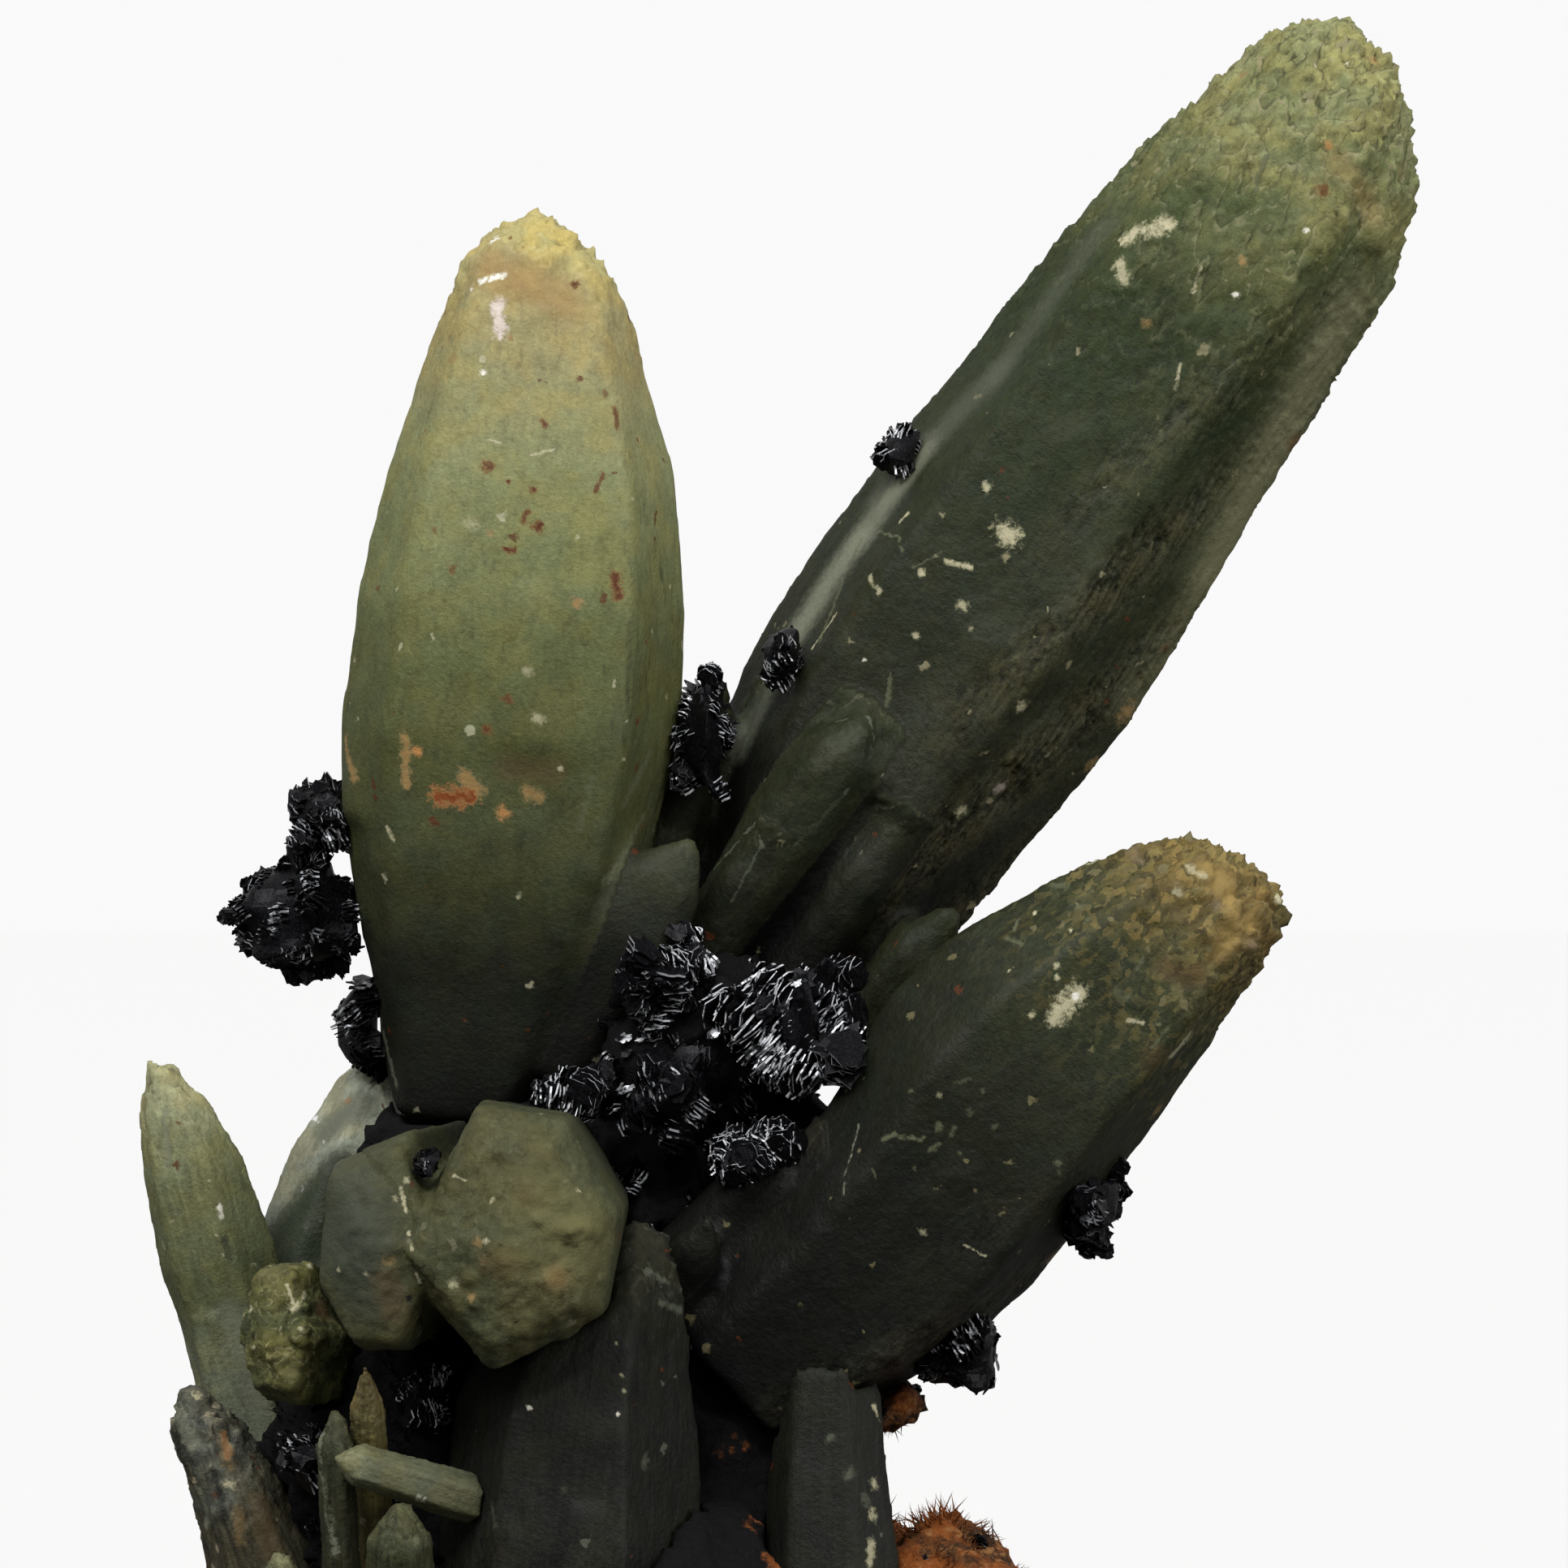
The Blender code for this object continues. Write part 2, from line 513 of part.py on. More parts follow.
ROSES = {
    "rose_ball": Rose((-24.6, 0.0, 69.0), 5.9, 9, thickness=1.0, core=0.8, stretch=(1.1, 0.95, 0.98), seed=3),
    "rose_upper_left": Rose((-22.2, -1.0, 76.4), 4.2, 5, thickness=0.8, stretch=(0.95, 1.0, 1.0), seed=5),
    "rose_flat_plate": Rose((-20.0, 1.0, 60.4), 5.2, 4, stretch=(0.55, 0.9, 1.05), seed=7),
    "rose_between": Rose((6.4, 0.0, 82.8), 5.8, 6, stretch=(0.6, 0.8, 1.1), seed=9),
    "rose_on_edge": Rose((21.8, 4.0, 104.6), 3.4, 4, thickness=0.7, stretch=(0.8, 1.0, 0.95), seed=13),
    "rose_row": Rose((12.8, -0.5, 89.0), 3.2, 5, thickness=0.7, stretch=(0.7, 1.0, 1.1), seed=15),
    "rose_fan": Rose((14.4, -7.0, 60.8), 6.4, 8, core=0.64, stretch=(0.92, 0.9, 0.98), seed=17),
    "rose_middle": Rose((3.4, -6.0, 63.6), 5.0, 6, seed=19),
    "rose_centre_left": Rose((-3.2, -8.0, 55.4), 4.0, 5, thickness=0.8, stretch=(1.0, 1.0, 0.8), seed=21),
    "rose_centre": Rose((4.4, -8.5, 55.6), 4.6, 6, thickness=0.8, stretch=(1.0, 0.9, 0.9), seed=22),
    "rose_streak": Rose((10.6, -9.0, 50.6), 4.4, 4, thickness=0.8, stretch=(1.0, 1.0, 0.7), seed=25),
    "rose_under_tip": Rose((35.2, -9.0, 47.4), 5.8, 6, stretch=(1.0, 1.0, 0.86), seed=27),
    "rose_under_right": Rose((26.6, -7.0, 36.2), 4.6, 6, stretch=(0.9, 1.0, 1.0), seed=29),
    "rose_low_left": Rose((-23.4, -12.0, 28.4), 3.0, 4, thickness=0.7, seed=31),
    "rose_low_middle": Rose((-14.6, -12.8, 32.6), 3.4, 4, thickness=0.7, seed=33),
    "rose_wedge": Rose((-13.4, -26.4, 51.0), 1.9, 3, thickness=0.6, core=0.5, stretch=(0.7, 1.3, 1.0), seed=34),
    "rose_back": Rose((-8.0, 15.5, 54.0), 6.0, 6, thickness=1.0, seed=35),
}

@dataclass
class Lump:
    """A rough rounded lump of rock."""

    centre: tuple
    size: tuple
    seed: float
    roughness: float = 0.3
    detail: int = 2

    def shape(self, grow=0.0):
        """The lump as a working shape: a ball with its points moved in and out by noise."""
        body = bmesh.new()
        bmesh.ops.create_icosphere(body, subdivisions=self.detail, radius=0.5)
        for vert in body.verts:
            bump = 1 + self.roughness * noise.noise(vert.co * BUMPS_PER_LUMP + Vector((self.seed, 0, 0)))
            vert.co = Vector(self.centre) + Vector(c * (s * bump + 2 * grow) for c, s in zip(vert.co, self.size))
        return body


# The lumps that make up the matrix
MATRIX_LUMPS = (
    Lump((0, -1, 2), BASE_SIZE, 2.0),
    Lump((5, 6, 37.5), CORE_SIZE, 5.0),
    Lump((6, 1, 60), (22, 18, 15), 4.0),
    Lump((-9, 3, 46), (24, 18, 26), 6.0),
    Lump((-16, 0, 28), (26, 24, 34), 7.0),
    Lump((10.5, 4, 24), (20, 24, 26), 9.0),
    Lump((24.5, -4, 12.3), (18, 18, 21), 12.0, roughness=0.35),
    Lump((21, -2, 31.5), (8, 10, 5.5), 14.0, detail=1),
)


def make_matrix(finish, parts, working):
    """The rock that carries the crystals, cut off flat at the floor and hollowed where each crystal is rooted."""
    first, *others = (lump.shape() for lump in MATRIX_LUMPS)
    body = to_object(first, "matrix", parts)
    join_shapes(body, others, working)
    cut_flat(body.data)
    carve(body, [shape for crystal, _ in CRYSTALS.values() for shape in crystal_shapes(crystal, GAP)], working)
    body.data.materials.append(finish)
    return body


def cut_flat(mesh):
    """Cuts a mesh off at the floor and closes the cut."""
    body = bmesh.new()
    body.from_mesh(mesh)
    everything = body.verts[:] + body.edges[:] + body.faces[:]
    cut = bmesh.ops.bisect_plane(body, geom=everything, plane_co=(0, 0, 0), plane_no=(0, 0, -1), clear_outer=True)
    rim = [e for e in cut["geom_cut"] if isinstance(e, bmesh.types.BMEdge)]
    bmesh.ops.contextual_create(body, geom=rim)
    bmesh.ops.recalc_face_normals(body, faces=body.faces)
    body.to_mesh(mesh)
    body.free()


def main():
    for old in list(bpy.data.objects):
        bpy.data.objects.remove(old)
    parts = bpy.data.collections.new(SPECIMEN)
    working = bpy.data.collections.new("cutters")
    for collection in (parts, working):
        bpy.context.scene.collection.children.link(collection)
    finishes = {name: make_finish(name) for name in FINISHES}

    made = []
    for name, (crystal, finish) in CRYSTALS.items():
        make_crystal(name, crystal, made, finishes[finish], parts, working)
        made.append(crystal)
    make_matrix(finishes["matrix_rock"], parts, working)
    set_roses = []
    for name, rose in ROSES.items():
        make_rose(name, rose, made, set_roses, finishes["hematite"], parts, working)
        set_roses.append(rose)


main()
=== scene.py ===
"""Prase quartz with hematite roses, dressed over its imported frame.

The solids of the frame give every piece its place. Each crystal is grown again from its solid with
overlapping scales, grooves and a crusted tip. The roses are stacked from thin plates, and the matrix is
roughened and covered with small plates and needles. Lengths are millimetres in the tables and metres in the
meshes.
"""

import logging
import math
import random
from collections.abc import Callable
from dataclasses import dataclass, field, replace
from enum import Enum

import bpy
import numpy as np
from mathutils import Matrix, Vector


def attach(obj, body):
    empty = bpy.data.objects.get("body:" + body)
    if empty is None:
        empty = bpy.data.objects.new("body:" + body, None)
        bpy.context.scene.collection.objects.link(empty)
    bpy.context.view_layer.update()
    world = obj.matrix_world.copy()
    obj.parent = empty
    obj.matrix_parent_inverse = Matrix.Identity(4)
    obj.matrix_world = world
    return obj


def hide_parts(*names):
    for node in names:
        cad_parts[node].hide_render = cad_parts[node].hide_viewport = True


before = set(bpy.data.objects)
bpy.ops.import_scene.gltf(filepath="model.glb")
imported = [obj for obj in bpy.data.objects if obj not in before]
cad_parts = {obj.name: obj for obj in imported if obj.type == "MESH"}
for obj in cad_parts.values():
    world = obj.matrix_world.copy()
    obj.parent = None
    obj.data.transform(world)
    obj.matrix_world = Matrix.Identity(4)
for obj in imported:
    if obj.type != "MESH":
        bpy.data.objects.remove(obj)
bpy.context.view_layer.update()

BODY = "root"
MM = 0.001                                      # one millimetre in metres
METRE = 1000.0                                  # one metre in millimetres
MERGE = 0.01                                    # points nearer than this are one, in millimetres
EVERYWHERE = ((-200.0,) * 3, (200.0,) * 3)      # a zone around the whole part
EYE = (12.875, -670.83, 79.125)                 # where the camera stands, in millimetres
ALL_ROUND = 6.28                                # the largest random turn, in radians

logging.basicConfig(level=logging.INFO, format="%(message)s")
log = logging.getLogger("prase_quartz")

Colour = tuple[float, float, float]
Triple = tuple[float, float, float]
Zone = tuple[Triple, Triple]


class Slot(Enum):
    """The material slots."""

    PALE = "pale_prase"
    DARK = "dark_prase"
    SLATE = "slate_prase"
    TAN = "tan_prase"
    HEMATITE = "hematite"
    ROCK = "matrix_rock"


class Mark(Enum):
    """What a mark on a crystal is: the colour of its middle and that of its edge."""

    RUST = ((0.10, 0.028, 0.008), (0.19, 0.085, 0.025))
    EMBER = ((0.22, 0.055, 0.012), (0.40, 0.19, 0.065))
    ORANGE = ((0.55, 0.25, 0.08), (0.40, 0.22, 0.08))
    OCHRE = ((0.36, 0.215, 0.075), (0.32, 0.23, 0.10))
    BROWN = ((0.085, 0.05, 0.022), (0.12, 0.085, 0.035))
    TAN = ((0.26, 0.20, 0.13), (0.14, 0.105, 0.065))
    CREAM = ((0.60, 0.55, 0.36), (0.42, 0.40, 0.24))
    CHIP = ((0.95, 0.93, 0.85), (0.72, 0.68, 0.52))
    BLUSH = ((0.80, 0.70, 0.62), (0.60, 0.50, 0.38))
    MOSS = ((0.135, 0.145, 0.080), (0.10, 0.11, 0.058))
    OLIVE = ((0.25, 0.245, 0.135), (0.12, 0.124, 0.062))
    ASH = ((0.120, 0.130, 0.092), (0.095, 0.105, 0.070))
    SAGE = ((0.050, 0.058, 0.038), (0.050, 0.057, 0.036))
    GOLD = ((0.34, 0.235, 0.075), (0.24, 0.165, 0.055))
    LIME = ((0.145, 0.135, 0.050), (0.115, 0.112, 0.045))
    BLACK = ((0.006, 0.006, 0.006), (0.020, 0.020, 0.016))
    PEARL = ((0.23, 0.24, 0.17), (0.13, 0.14, 0.095))
    FERN = ((0.022, 0.030, 0.015), (0.030, 0.038, 0.020))


# Node trees


class Value:
    """What a node puts out, to do plain sums with."""

    def __init__(self, graph: "Graph", socket: bpy.types.NodeSocket) -> None:
        """Keeps the output and the graph that it is in."""
        self.graph = graph
        self.socket = socket

    def __add__(self, other: object) -> "Value":
        """The sum of both."""
        return self.graph.math("ADD", self, other)

    def __sub__(self, other: object) -> "Value":
        """This less the other."""
        return self.graph.math("SUBTRACT", self, other)

    def __rsub__(self, other: object) -> "Value":
        """The other less this."""
        return self.graph.math("SUBTRACT", other, self)

    def __mul__(self, other: object) -> "Value":
        """The product of both."""
        return self.graph.math("MULTIPLY", self, other)

    def __truediv__(self, other: object) -> "Value":
        """This divided by the other."""
        return self.graph.math("DIVIDE", self, other)

    def clamped(self) -> "Value":
        """This, kept between 0 and 1."""
        return self.graph.math("ADD", self, 0.0, clamp=True)


class Graph:
    """A node tree that is being wired up."""

    def __init__(self, tree: bpy.types.NodeTree) -> None:
        """Keeps the shader or geometry tree."""
        self.tree = tree

    def fill(self, node: bpy.types.Node, values: dict) -> None:
        """Sets or links a node's inputs.

        Args:
            node: The node.
            values: What each input gets: a plain value, or another node's output.
        """
        for name, value in values.items():
            if isinstance(value, Value):
                self.tree.links.new(value.socket, node.inputs[name])
            else:
                node.inputs[name].default_value = value

    def node(self, kind: str, values: dict | None = None, **settings: object) -> bpy.types.Node:
        """Adds a node.

        Args:
            kind: The node's type.
            values: What its inputs get.
            settings: The node's own settings.

        Returns:
            The new node.
        """
        node = self.tree.nodes.new(kind)
        for name, value in settings.items():
            setattr(node, name, value)
        self.fill(node, values or {})
        return node

    def out(self, kind: str, values: dict | None = None, output: int | str = 0, **settings: object) -> Value:
        """One output of a new node."""
        return Value(self, self.node(kind, values, **settings).outputs[output])

    def outputs(self, node: bpy.types.Node) -> dict[str, Value]:
        """All outputs of a node by name."""
        return {socket.name: Value(self, socket) for socket in node.outputs}

    def group(self, tree: bpy.types.NodeTree, values: dict) -> dict[str, Value]:
        """The outputs of a node group that is placed in this shader tree."""
        return self.outputs(self.node("ShaderNodeGroup", values, node_tree=tree))

    def math(self, operation: str, *values: object, clamp: bool = False) -> Value:
        """What a Math node works out."""
        return self.out("ShaderNodeMath", dict(enumerate(values)), operation=operation, use_clamp=clamp)

    def vector(self, operation: str, *values: object, output: str = "Vector") -> Value:
        """What a Vector Math node works out."""
        return self.out("ShaderNodeVectorMath", dict(enumerate(values)), output, operation=operation)

    def scaled(self, vector: object, size: object) -> Value:
        """A vector made longer or shorter."""
        return self.out("ShaderNodeVectorMath", {0: vector, "Scale": size}, operation="SCALE")

    def combined(self, x: object, y: object, z: object) -> Value:
        """Three numbers as one vector."""
        return self.out("ShaderNodeCombineXYZ", {0: x, 1: y, 2: z})

    def part(self, vector: object, axis: str) -> Value:
        """A vector's X, Y or Z."""
        return self.out("ShaderNodeSeparateXYZ", {0: vector}, axis)

    def step(self, value: object, low: float, high: float) -> Value:
        """A soft step from 0 at the low value to 1 at the high one."""
        values = {"Value": value, 1: low, 2: high}
        return self.out("ShaderNodeMapRange", values, interpolation_type="SMOOTHSTEP")

    def noise(self, place: object, scale: float, detail: float = 2.0, rough: float = 0.5,
              output: int | str = 0) -> Value:
        """A noise between 0 and 1, with its bumps to a unit, its finer layers and their strength."""
        values = {"Vector": place, "Scale": scale, "Detail": detail, "Roughness": rough}
        return self.out("ShaderNodeTexNoise", values, output)

    def cells(self, place: object, scale: float, randomness: float = 1.0) -> dict[str, Value]:
        """The outputs of a pattern of cells."""
        values = {"Vector": place, "Scale": scale, "Randomness": randomness}
        return self.outputs(self.node("ShaderNodeTexVoronoi", values, voronoi_dimensions="3D"))

    def mix(self, share: object, first: object, second: object, blend: str = "MIX") -> Value:
        """A share of the second colour laid over the first."""
        values = {0: share, 6: with_alpha(first), 7: with_alpha(second)}
        return self.out("ShaderNodeMix", values, 2, data_type="RGBA", blend_type=blend)

    def torn(self, place: object, scale: float, reach: float) -> Value:
        """A place shifted by a noise, which tears the outline of what is drawn there."""
        shift = self.vector("SUBTRACT", self.noise(place, scale, 2.0, 0.65, "Color"), (0.5,) * 3)
        return self.vector("ADD", place, self.scaled(shift, reach))

    def named(self, name: str, kind: str = "FLOAT") -> Value:
        """A mesh attribute in a geometry tree."""
        return self.out("GeometryNodeInputNamedAttribute", {"Name": name}, "Attribute", data_type=kind)

    def outward(self, height: Value) -> Value:
        """A shift along the surface's normal by a height in millimetres, in a geometry tree."""
        return self.scaled(self.out("GeometryNodeInputNormal"), height * MM)


class Paint(Graph):
    """A new material that is being wired up."""

    def __init__(self, name: str) -> None:
        """Makes the material.

        Args:
            name: Its name.
        """
        self.material = bpy.data.materials.new(name)
        self.material.use_nodes = True
        super().__init__(self.material.node_tree)

    def attribute(self, name: str, output: str = "Fac") -> Value:
        """A mesh attribute."""
        return self.out("ShaderNodeAttribute", output=output, attribute_name=name)

    def millimetres(self) -> Value:
        """The place on the piece, in millimetres."""
        return self.vector("MULTIPLY", self.out("ShaderNodeTexCoord", output="Object"), (METRE,) * 3)

    def darkened(self, colour: Value, light: Value) -> Value:
        """A colour times a brightness."""
        return self.mix(1.0, colour, self.combined(light, light, light), "MULTIPLY")

    def bump(self, strength: float, distance: float, height: Value) -> Value:
        """The normal over a fine height, whose distance is in millimetres."""
        return self.out("ShaderNodeBump", {"Strength": strength, "Distance": distance * MM, "Height": height})

    def finished(self, values: dict) -> bpy.types.Material:
        """The material, with its shader's inputs filled."""
        self.fill(self.tree.nodes["Principled BSDF"], values)
        return self.material


def with_alpha(colour: object) -> object:
    """A colour with its fourth number, or an output as it is."""
    return colour if isinstance(colour, Value) else (*colour, 1.0)


def sockets(kind: str, *names: str) -> dict[str, str]:
    """The socket type of each of several inputs or outputs."""
    return dict.fromkeys(names, kind)


def new_group(name: str, kind: str, inputs: dict[str, str],
              outputs: dict[str, str]) -> tuple[Graph, dict[str, Value], bpy.types.Node]:
    """Makes an empty node group with named sockets.

    Args:
        name: The group's name.
        kind: ShaderNodeTree or GeometryNodeTree.
        inputs: Each input's socket type by name.
        outputs: Each output's socket type by name.

    Returns:
        The graph, what is given to it by name, and its output node.
    """
    tree = bpy.data.node_groups.new(name, kind)
    for way, named in (("INPUT", inputs), ("OUTPUT", outputs)):
        for label, socket in named.items():
            tree.interface.new_socket(label, in_out=way, socket_type=f"NodeSocket{socket}")
    graph = Graph(tree)
    return graph, graph.outputs(graph.node("NodeGroupInput")), graph.node("NodeGroupOutput")


def wire_scales(graph: Graph, place: Value, width: float, length: float) -> Value:
    """Wires overlapping growth scales: long cells, each of which rises towards the tip and then drops off.

    Args:
        graph: The tree they are wired in.
        place: The place in the crystal's own millimetres, with Z the distance from the tip.
        width: A scale's width.
        length: A scale's length.

    Returns:
        Their height, between 0 and 1.
    """
    stretched = graph.vector("DIVIDE", place, (width, width, length))
    cells = graph.cells(stretched, 1.0, 0.95)
    beyond = graph.part(graph.vector("SUBTRACT", stretched, cells["Position"]), "Z")
    return (0.5 - beyond * 0.8).clamped() * 0.55 + graph.part(cells["Color"], "X") * 0.45


class Effects:
    """The node groups that several finishes or pieces share."""

    def __init__(self) -> None:
        """Builds each group once."""
        self.growth = self.make_growth()
        self.rock = self.make_rock_relief()
        self.grain = self.make_grain()
        self.mark = self.make_mark()
        self.flecks = self.make_flecks()

    def make_growth(self) -> bpy.types.NodeTree:
        """A crystal's relief: growth layers, a finer crust near the tip, grooves, and a slow swell.

        Returns:
            The geometry group.
        """
        inputs = {"Geometry": "Geometry", **sockets("Float", "Scales", "Crust", "Points", "Grooves", "Swell",
                                                    "Scale Width", "Scale Length")}
        graph, given, end = new_group("growth_relief", "GeometryNodeTree", inputs, {"Geometry": "Geometry"})
        place = graph.named("local", "FLOAT_VECTOR")
        crust = graph.named("crust")
        size = graph.combined(given["Scale Width"], given["Scale Width"], given["Scale Length"] * 1.5)
        wide = graph.noise(graph.vector("DIVIDE", place, size), 0.8, 3.0, 0.6)
        level = wide * 6.0 - graph.part(place, "Z") / given["Scale Length"]
        saw = graph.math("FRACT", level)
        layers = saw * (1.0 - graph.step(saw, 0.88, 1.0))
        fine = wire_scales(graph, place, 0.95, 3.0)
        finest = wire_scales(graph, graph.vector("ADD", place, (7.0, 3.0, 5.0)), 0.6, 1.7)
        rough = finest * 0.45 + fine * 0.75
        raised = layers * (crust * 0.8 + 0.2) * given["Scales"]
        crusted = rough * crust * given["Crust"]
        grains = graph.cells(place, 0.62)
        small = graph.cells(place, 1.2)
        tapered = (1.0 - grains["Distance"] * 1.7).clamped() * (graph.part(grains["Color"], "X") * 0.8 + 0.2)
        sharp = (0.45 - small["Distance"] * 0.85).clamped()
        pointed = (tapered + sharp) * crust * crust * given["Points"]
        ridges = graph.noise(graph.vector("MULTIPLY", place, (0.75, 0.75, 0.085)), 1.0, 3.0, 0.6)
        cut = 1.0 - graph.step(graph.math("ABSOLUTE", ridges - 0.5), 0.0, 0.055)
        grooved = cut * graph.named("groove")
        swell = (graph.noise(place, 0.14, 1.0) - 0.5) * given["Swell"]
        outward = graph.outward(swell + raised + crusted - grooved * given["Grooves"] + pointed)
        forward = graph.scaled(graph.named("tipward", "FLOAT_VECTOR"), (crusted + pointed) * (0.4 * MM))
        moved = graph.out("GeometryNodeSetPosition", {"Geometry": given["Geometry"],
                                                      "Offset": graph.vector("ADD", outward, forward)})
        relief = layers * 0.5 + rough * 0.42 - grooved * 0.5
        for name, value in (("relief", relief), ("level", level)):
            values = {"Geometry": moved, "Name": name, "Value": value}
            moved = graph.out("GeometryNodeStoreNamedAttribute", values, data_type="FLOAT", domain="POINT")
        graph.fill(end, {"Geometry": moved})
        return graph.tree

    def make_rock_relief(self) -> bpy.types.NodeTree:
        """The matrix's relief: lumps with finer crumbs on them.

        Returns:
            The geometry group.
        """
        inputs = {"Geometry": "Geometry", "Height": "Float"}
        graph, given, end = new_group("rock_relief", "GeometryNodeTree", inputs, {"Geometry": "Geometry"})
        place = graph.vector("MULTIPLY", graph.out("GeometryNodeInputPosition"), (METRE,) * 3)
        lumps = graph.noise(place, 0.22, 5.0, 0.62) - 0.45
        crumbs = graph.cells(place, 0.75)["Distance"] * 0.22
        above = graph.step(graph.part(place, "Z"), 0.4, 3.0)
        offset = graph.outward((lumps - crumbs) * above * given["Height"])
        moved = graph.out("GeometryNodeSetPosition", {"Geometry": given["Geometry"], "Offset": offset})
        graph.fill(end, {"Geometry": moved})
        return graph.tree

    def make_grain(self) -> bpy.types.NodeTree:
        """What is too fine for the mesh: woolly mottling, slow changes of hue, and fine striae.

        Returns:
            The shader group.
        """
        outputs = {**sockets("Float", "Height", "Tone", "Mottling", "Striae"), "Tint": "Color",
                   "Torn": "Vector"}
        graph, given, end = new_group("growth_grain", "ShaderNodeTree", {"Place": "Vector"}, outputs)
        place = given["Place"]
        torn = graph.torn(place, 0.9, 1.5)
        woolly = graph.noise(graph.vector("MULTIPLY", torn, (1.1, 1.1, 0.45)), 2.1, 4.0, 0.7)
        slow = graph.noise(place, 0.42, 2.0, 0.6)
        striae = graph.noise(graph.vector("MULTIPLY", place, (2.4, 2.4, 0.13)), 1.0, 3.0, 0.65)
        hue = graph.step(graph.noise(place, 0.3, 2.0, 0.6), 0.38, 0.62)
        graph.fill(end, {"Height": graph.noise(place, 2.6, 3.0, 0.68), "Tone": woolly * 0.68 + slow * 0.32,
                         "Mottling": graph.noise(place, 0.16, 3.0, 0.6), "Striae": striae,
                         "Tint": graph.mix(hue, (0.96, 1.0, 0.95), (1.06, 1.0, 0.80)), "Torn": torn})
        return graph.tree

    def make_mark(self) -> bpy.types.NodeTree:
        """A patch or a streak between two places, with a torn edge.

        Returns:
            The shader group, with a mask for the whole mark and one for its middle.
        """
        inputs = {**sockets("Vector", "Place", "Start", "Along", "Over"), **sockets("Float", "Width", "Tear")}
        outputs = sockets("Float", "Whole", "Middle")
        graph, given, end = new_group("torn_mark", "ShaderNodeTree", inputs, outputs)
        away = graph.vector("SUBTRACT", given["Place"], given["Start"])
        share = graph.vector("DOT_PRODUCT", away, given["Over"], output="Value").clamped()
        offset = graph.vector("SUBTRACT", away, graph.scaled(given["Along"], share))
        edge = graph.vector("LENGTH", offset, output="Value") / given["Width"] + given["Tear"]
        graph.fill(end, {"Whole": 1.0 - graph.step(edge, 0.55, 1.3),
                         "Middle": 1.0 - graph.step(edge, 0.15, 0.9)})
        return graph.tree

    def make_flecks(self) -> bpy.types.NodeTree:
        """Small scattered flecks of uneven size, some pale and some rusty, and finer grains.

        Returns:
            The shader group.
        """
        inputs = {"Place": "Vector", **sockets("Float", "Pale Share", "Rust Share")}
        outputs = sockets("Float", "Pale", "Rust", "Grain")
        graph, given, end = new_group("scattered_flecks", "ShaderNodeTree", inputs, outputs)
        cells = graph.cells(given["Place"], 0.85)
        kind = graph.part(cells["Color"], "X")
        reach = graph.math("POWER", graph.part(cells["Color"], "Y"), 2.0) * 0.34 + 0.10
        spot = 1.0 - graph.step(cells["Distance"] / reach, 0.6, 1.1)
        grains = graph.cells(graph.vector("MULTIPLY", given["Place"], (1.0, 1.0, 0.6)), 2.0)
        graph.fill(end, {"Pale": spot * graph.math("LESS_THAN", kind, given["Pale Share"]),
                         "Rust": spot * graph.math("GREATER_THAN", kind, 1.0 - given["Rust Share"]),
                         "Grain": graph.part(grains["Color"], "Z")})
        return graph.tree


# Finishes


@dataclass(frozen=True)
class Spot:
    """A mark on the side of a crystal that faces the viewer, at a place across and up, in millimetres."""

    kind: Mark
    across: float
    up: float
    width: float
    strength: float = 1.0
    far_across: float | None = None     # the other end of a streak
    far_up: float | None = None

    def ends(self) -> list[tuple[float, float]]:
        """Its two ends, which are one place if it isn't a streak."""
        near = (self.across, self.up)
        return [near, near if self.far_across is None else (self.far_across, self.far_up)]


def marks(kind: Mark, *rows: tuple[float, ...]) -> tuple[Spot, ...]:
    """Makes marks of one kind, each from across, up, width, strength and the other end of a streak."""
    return tuple(Spot(kind, *row) for row in rows)


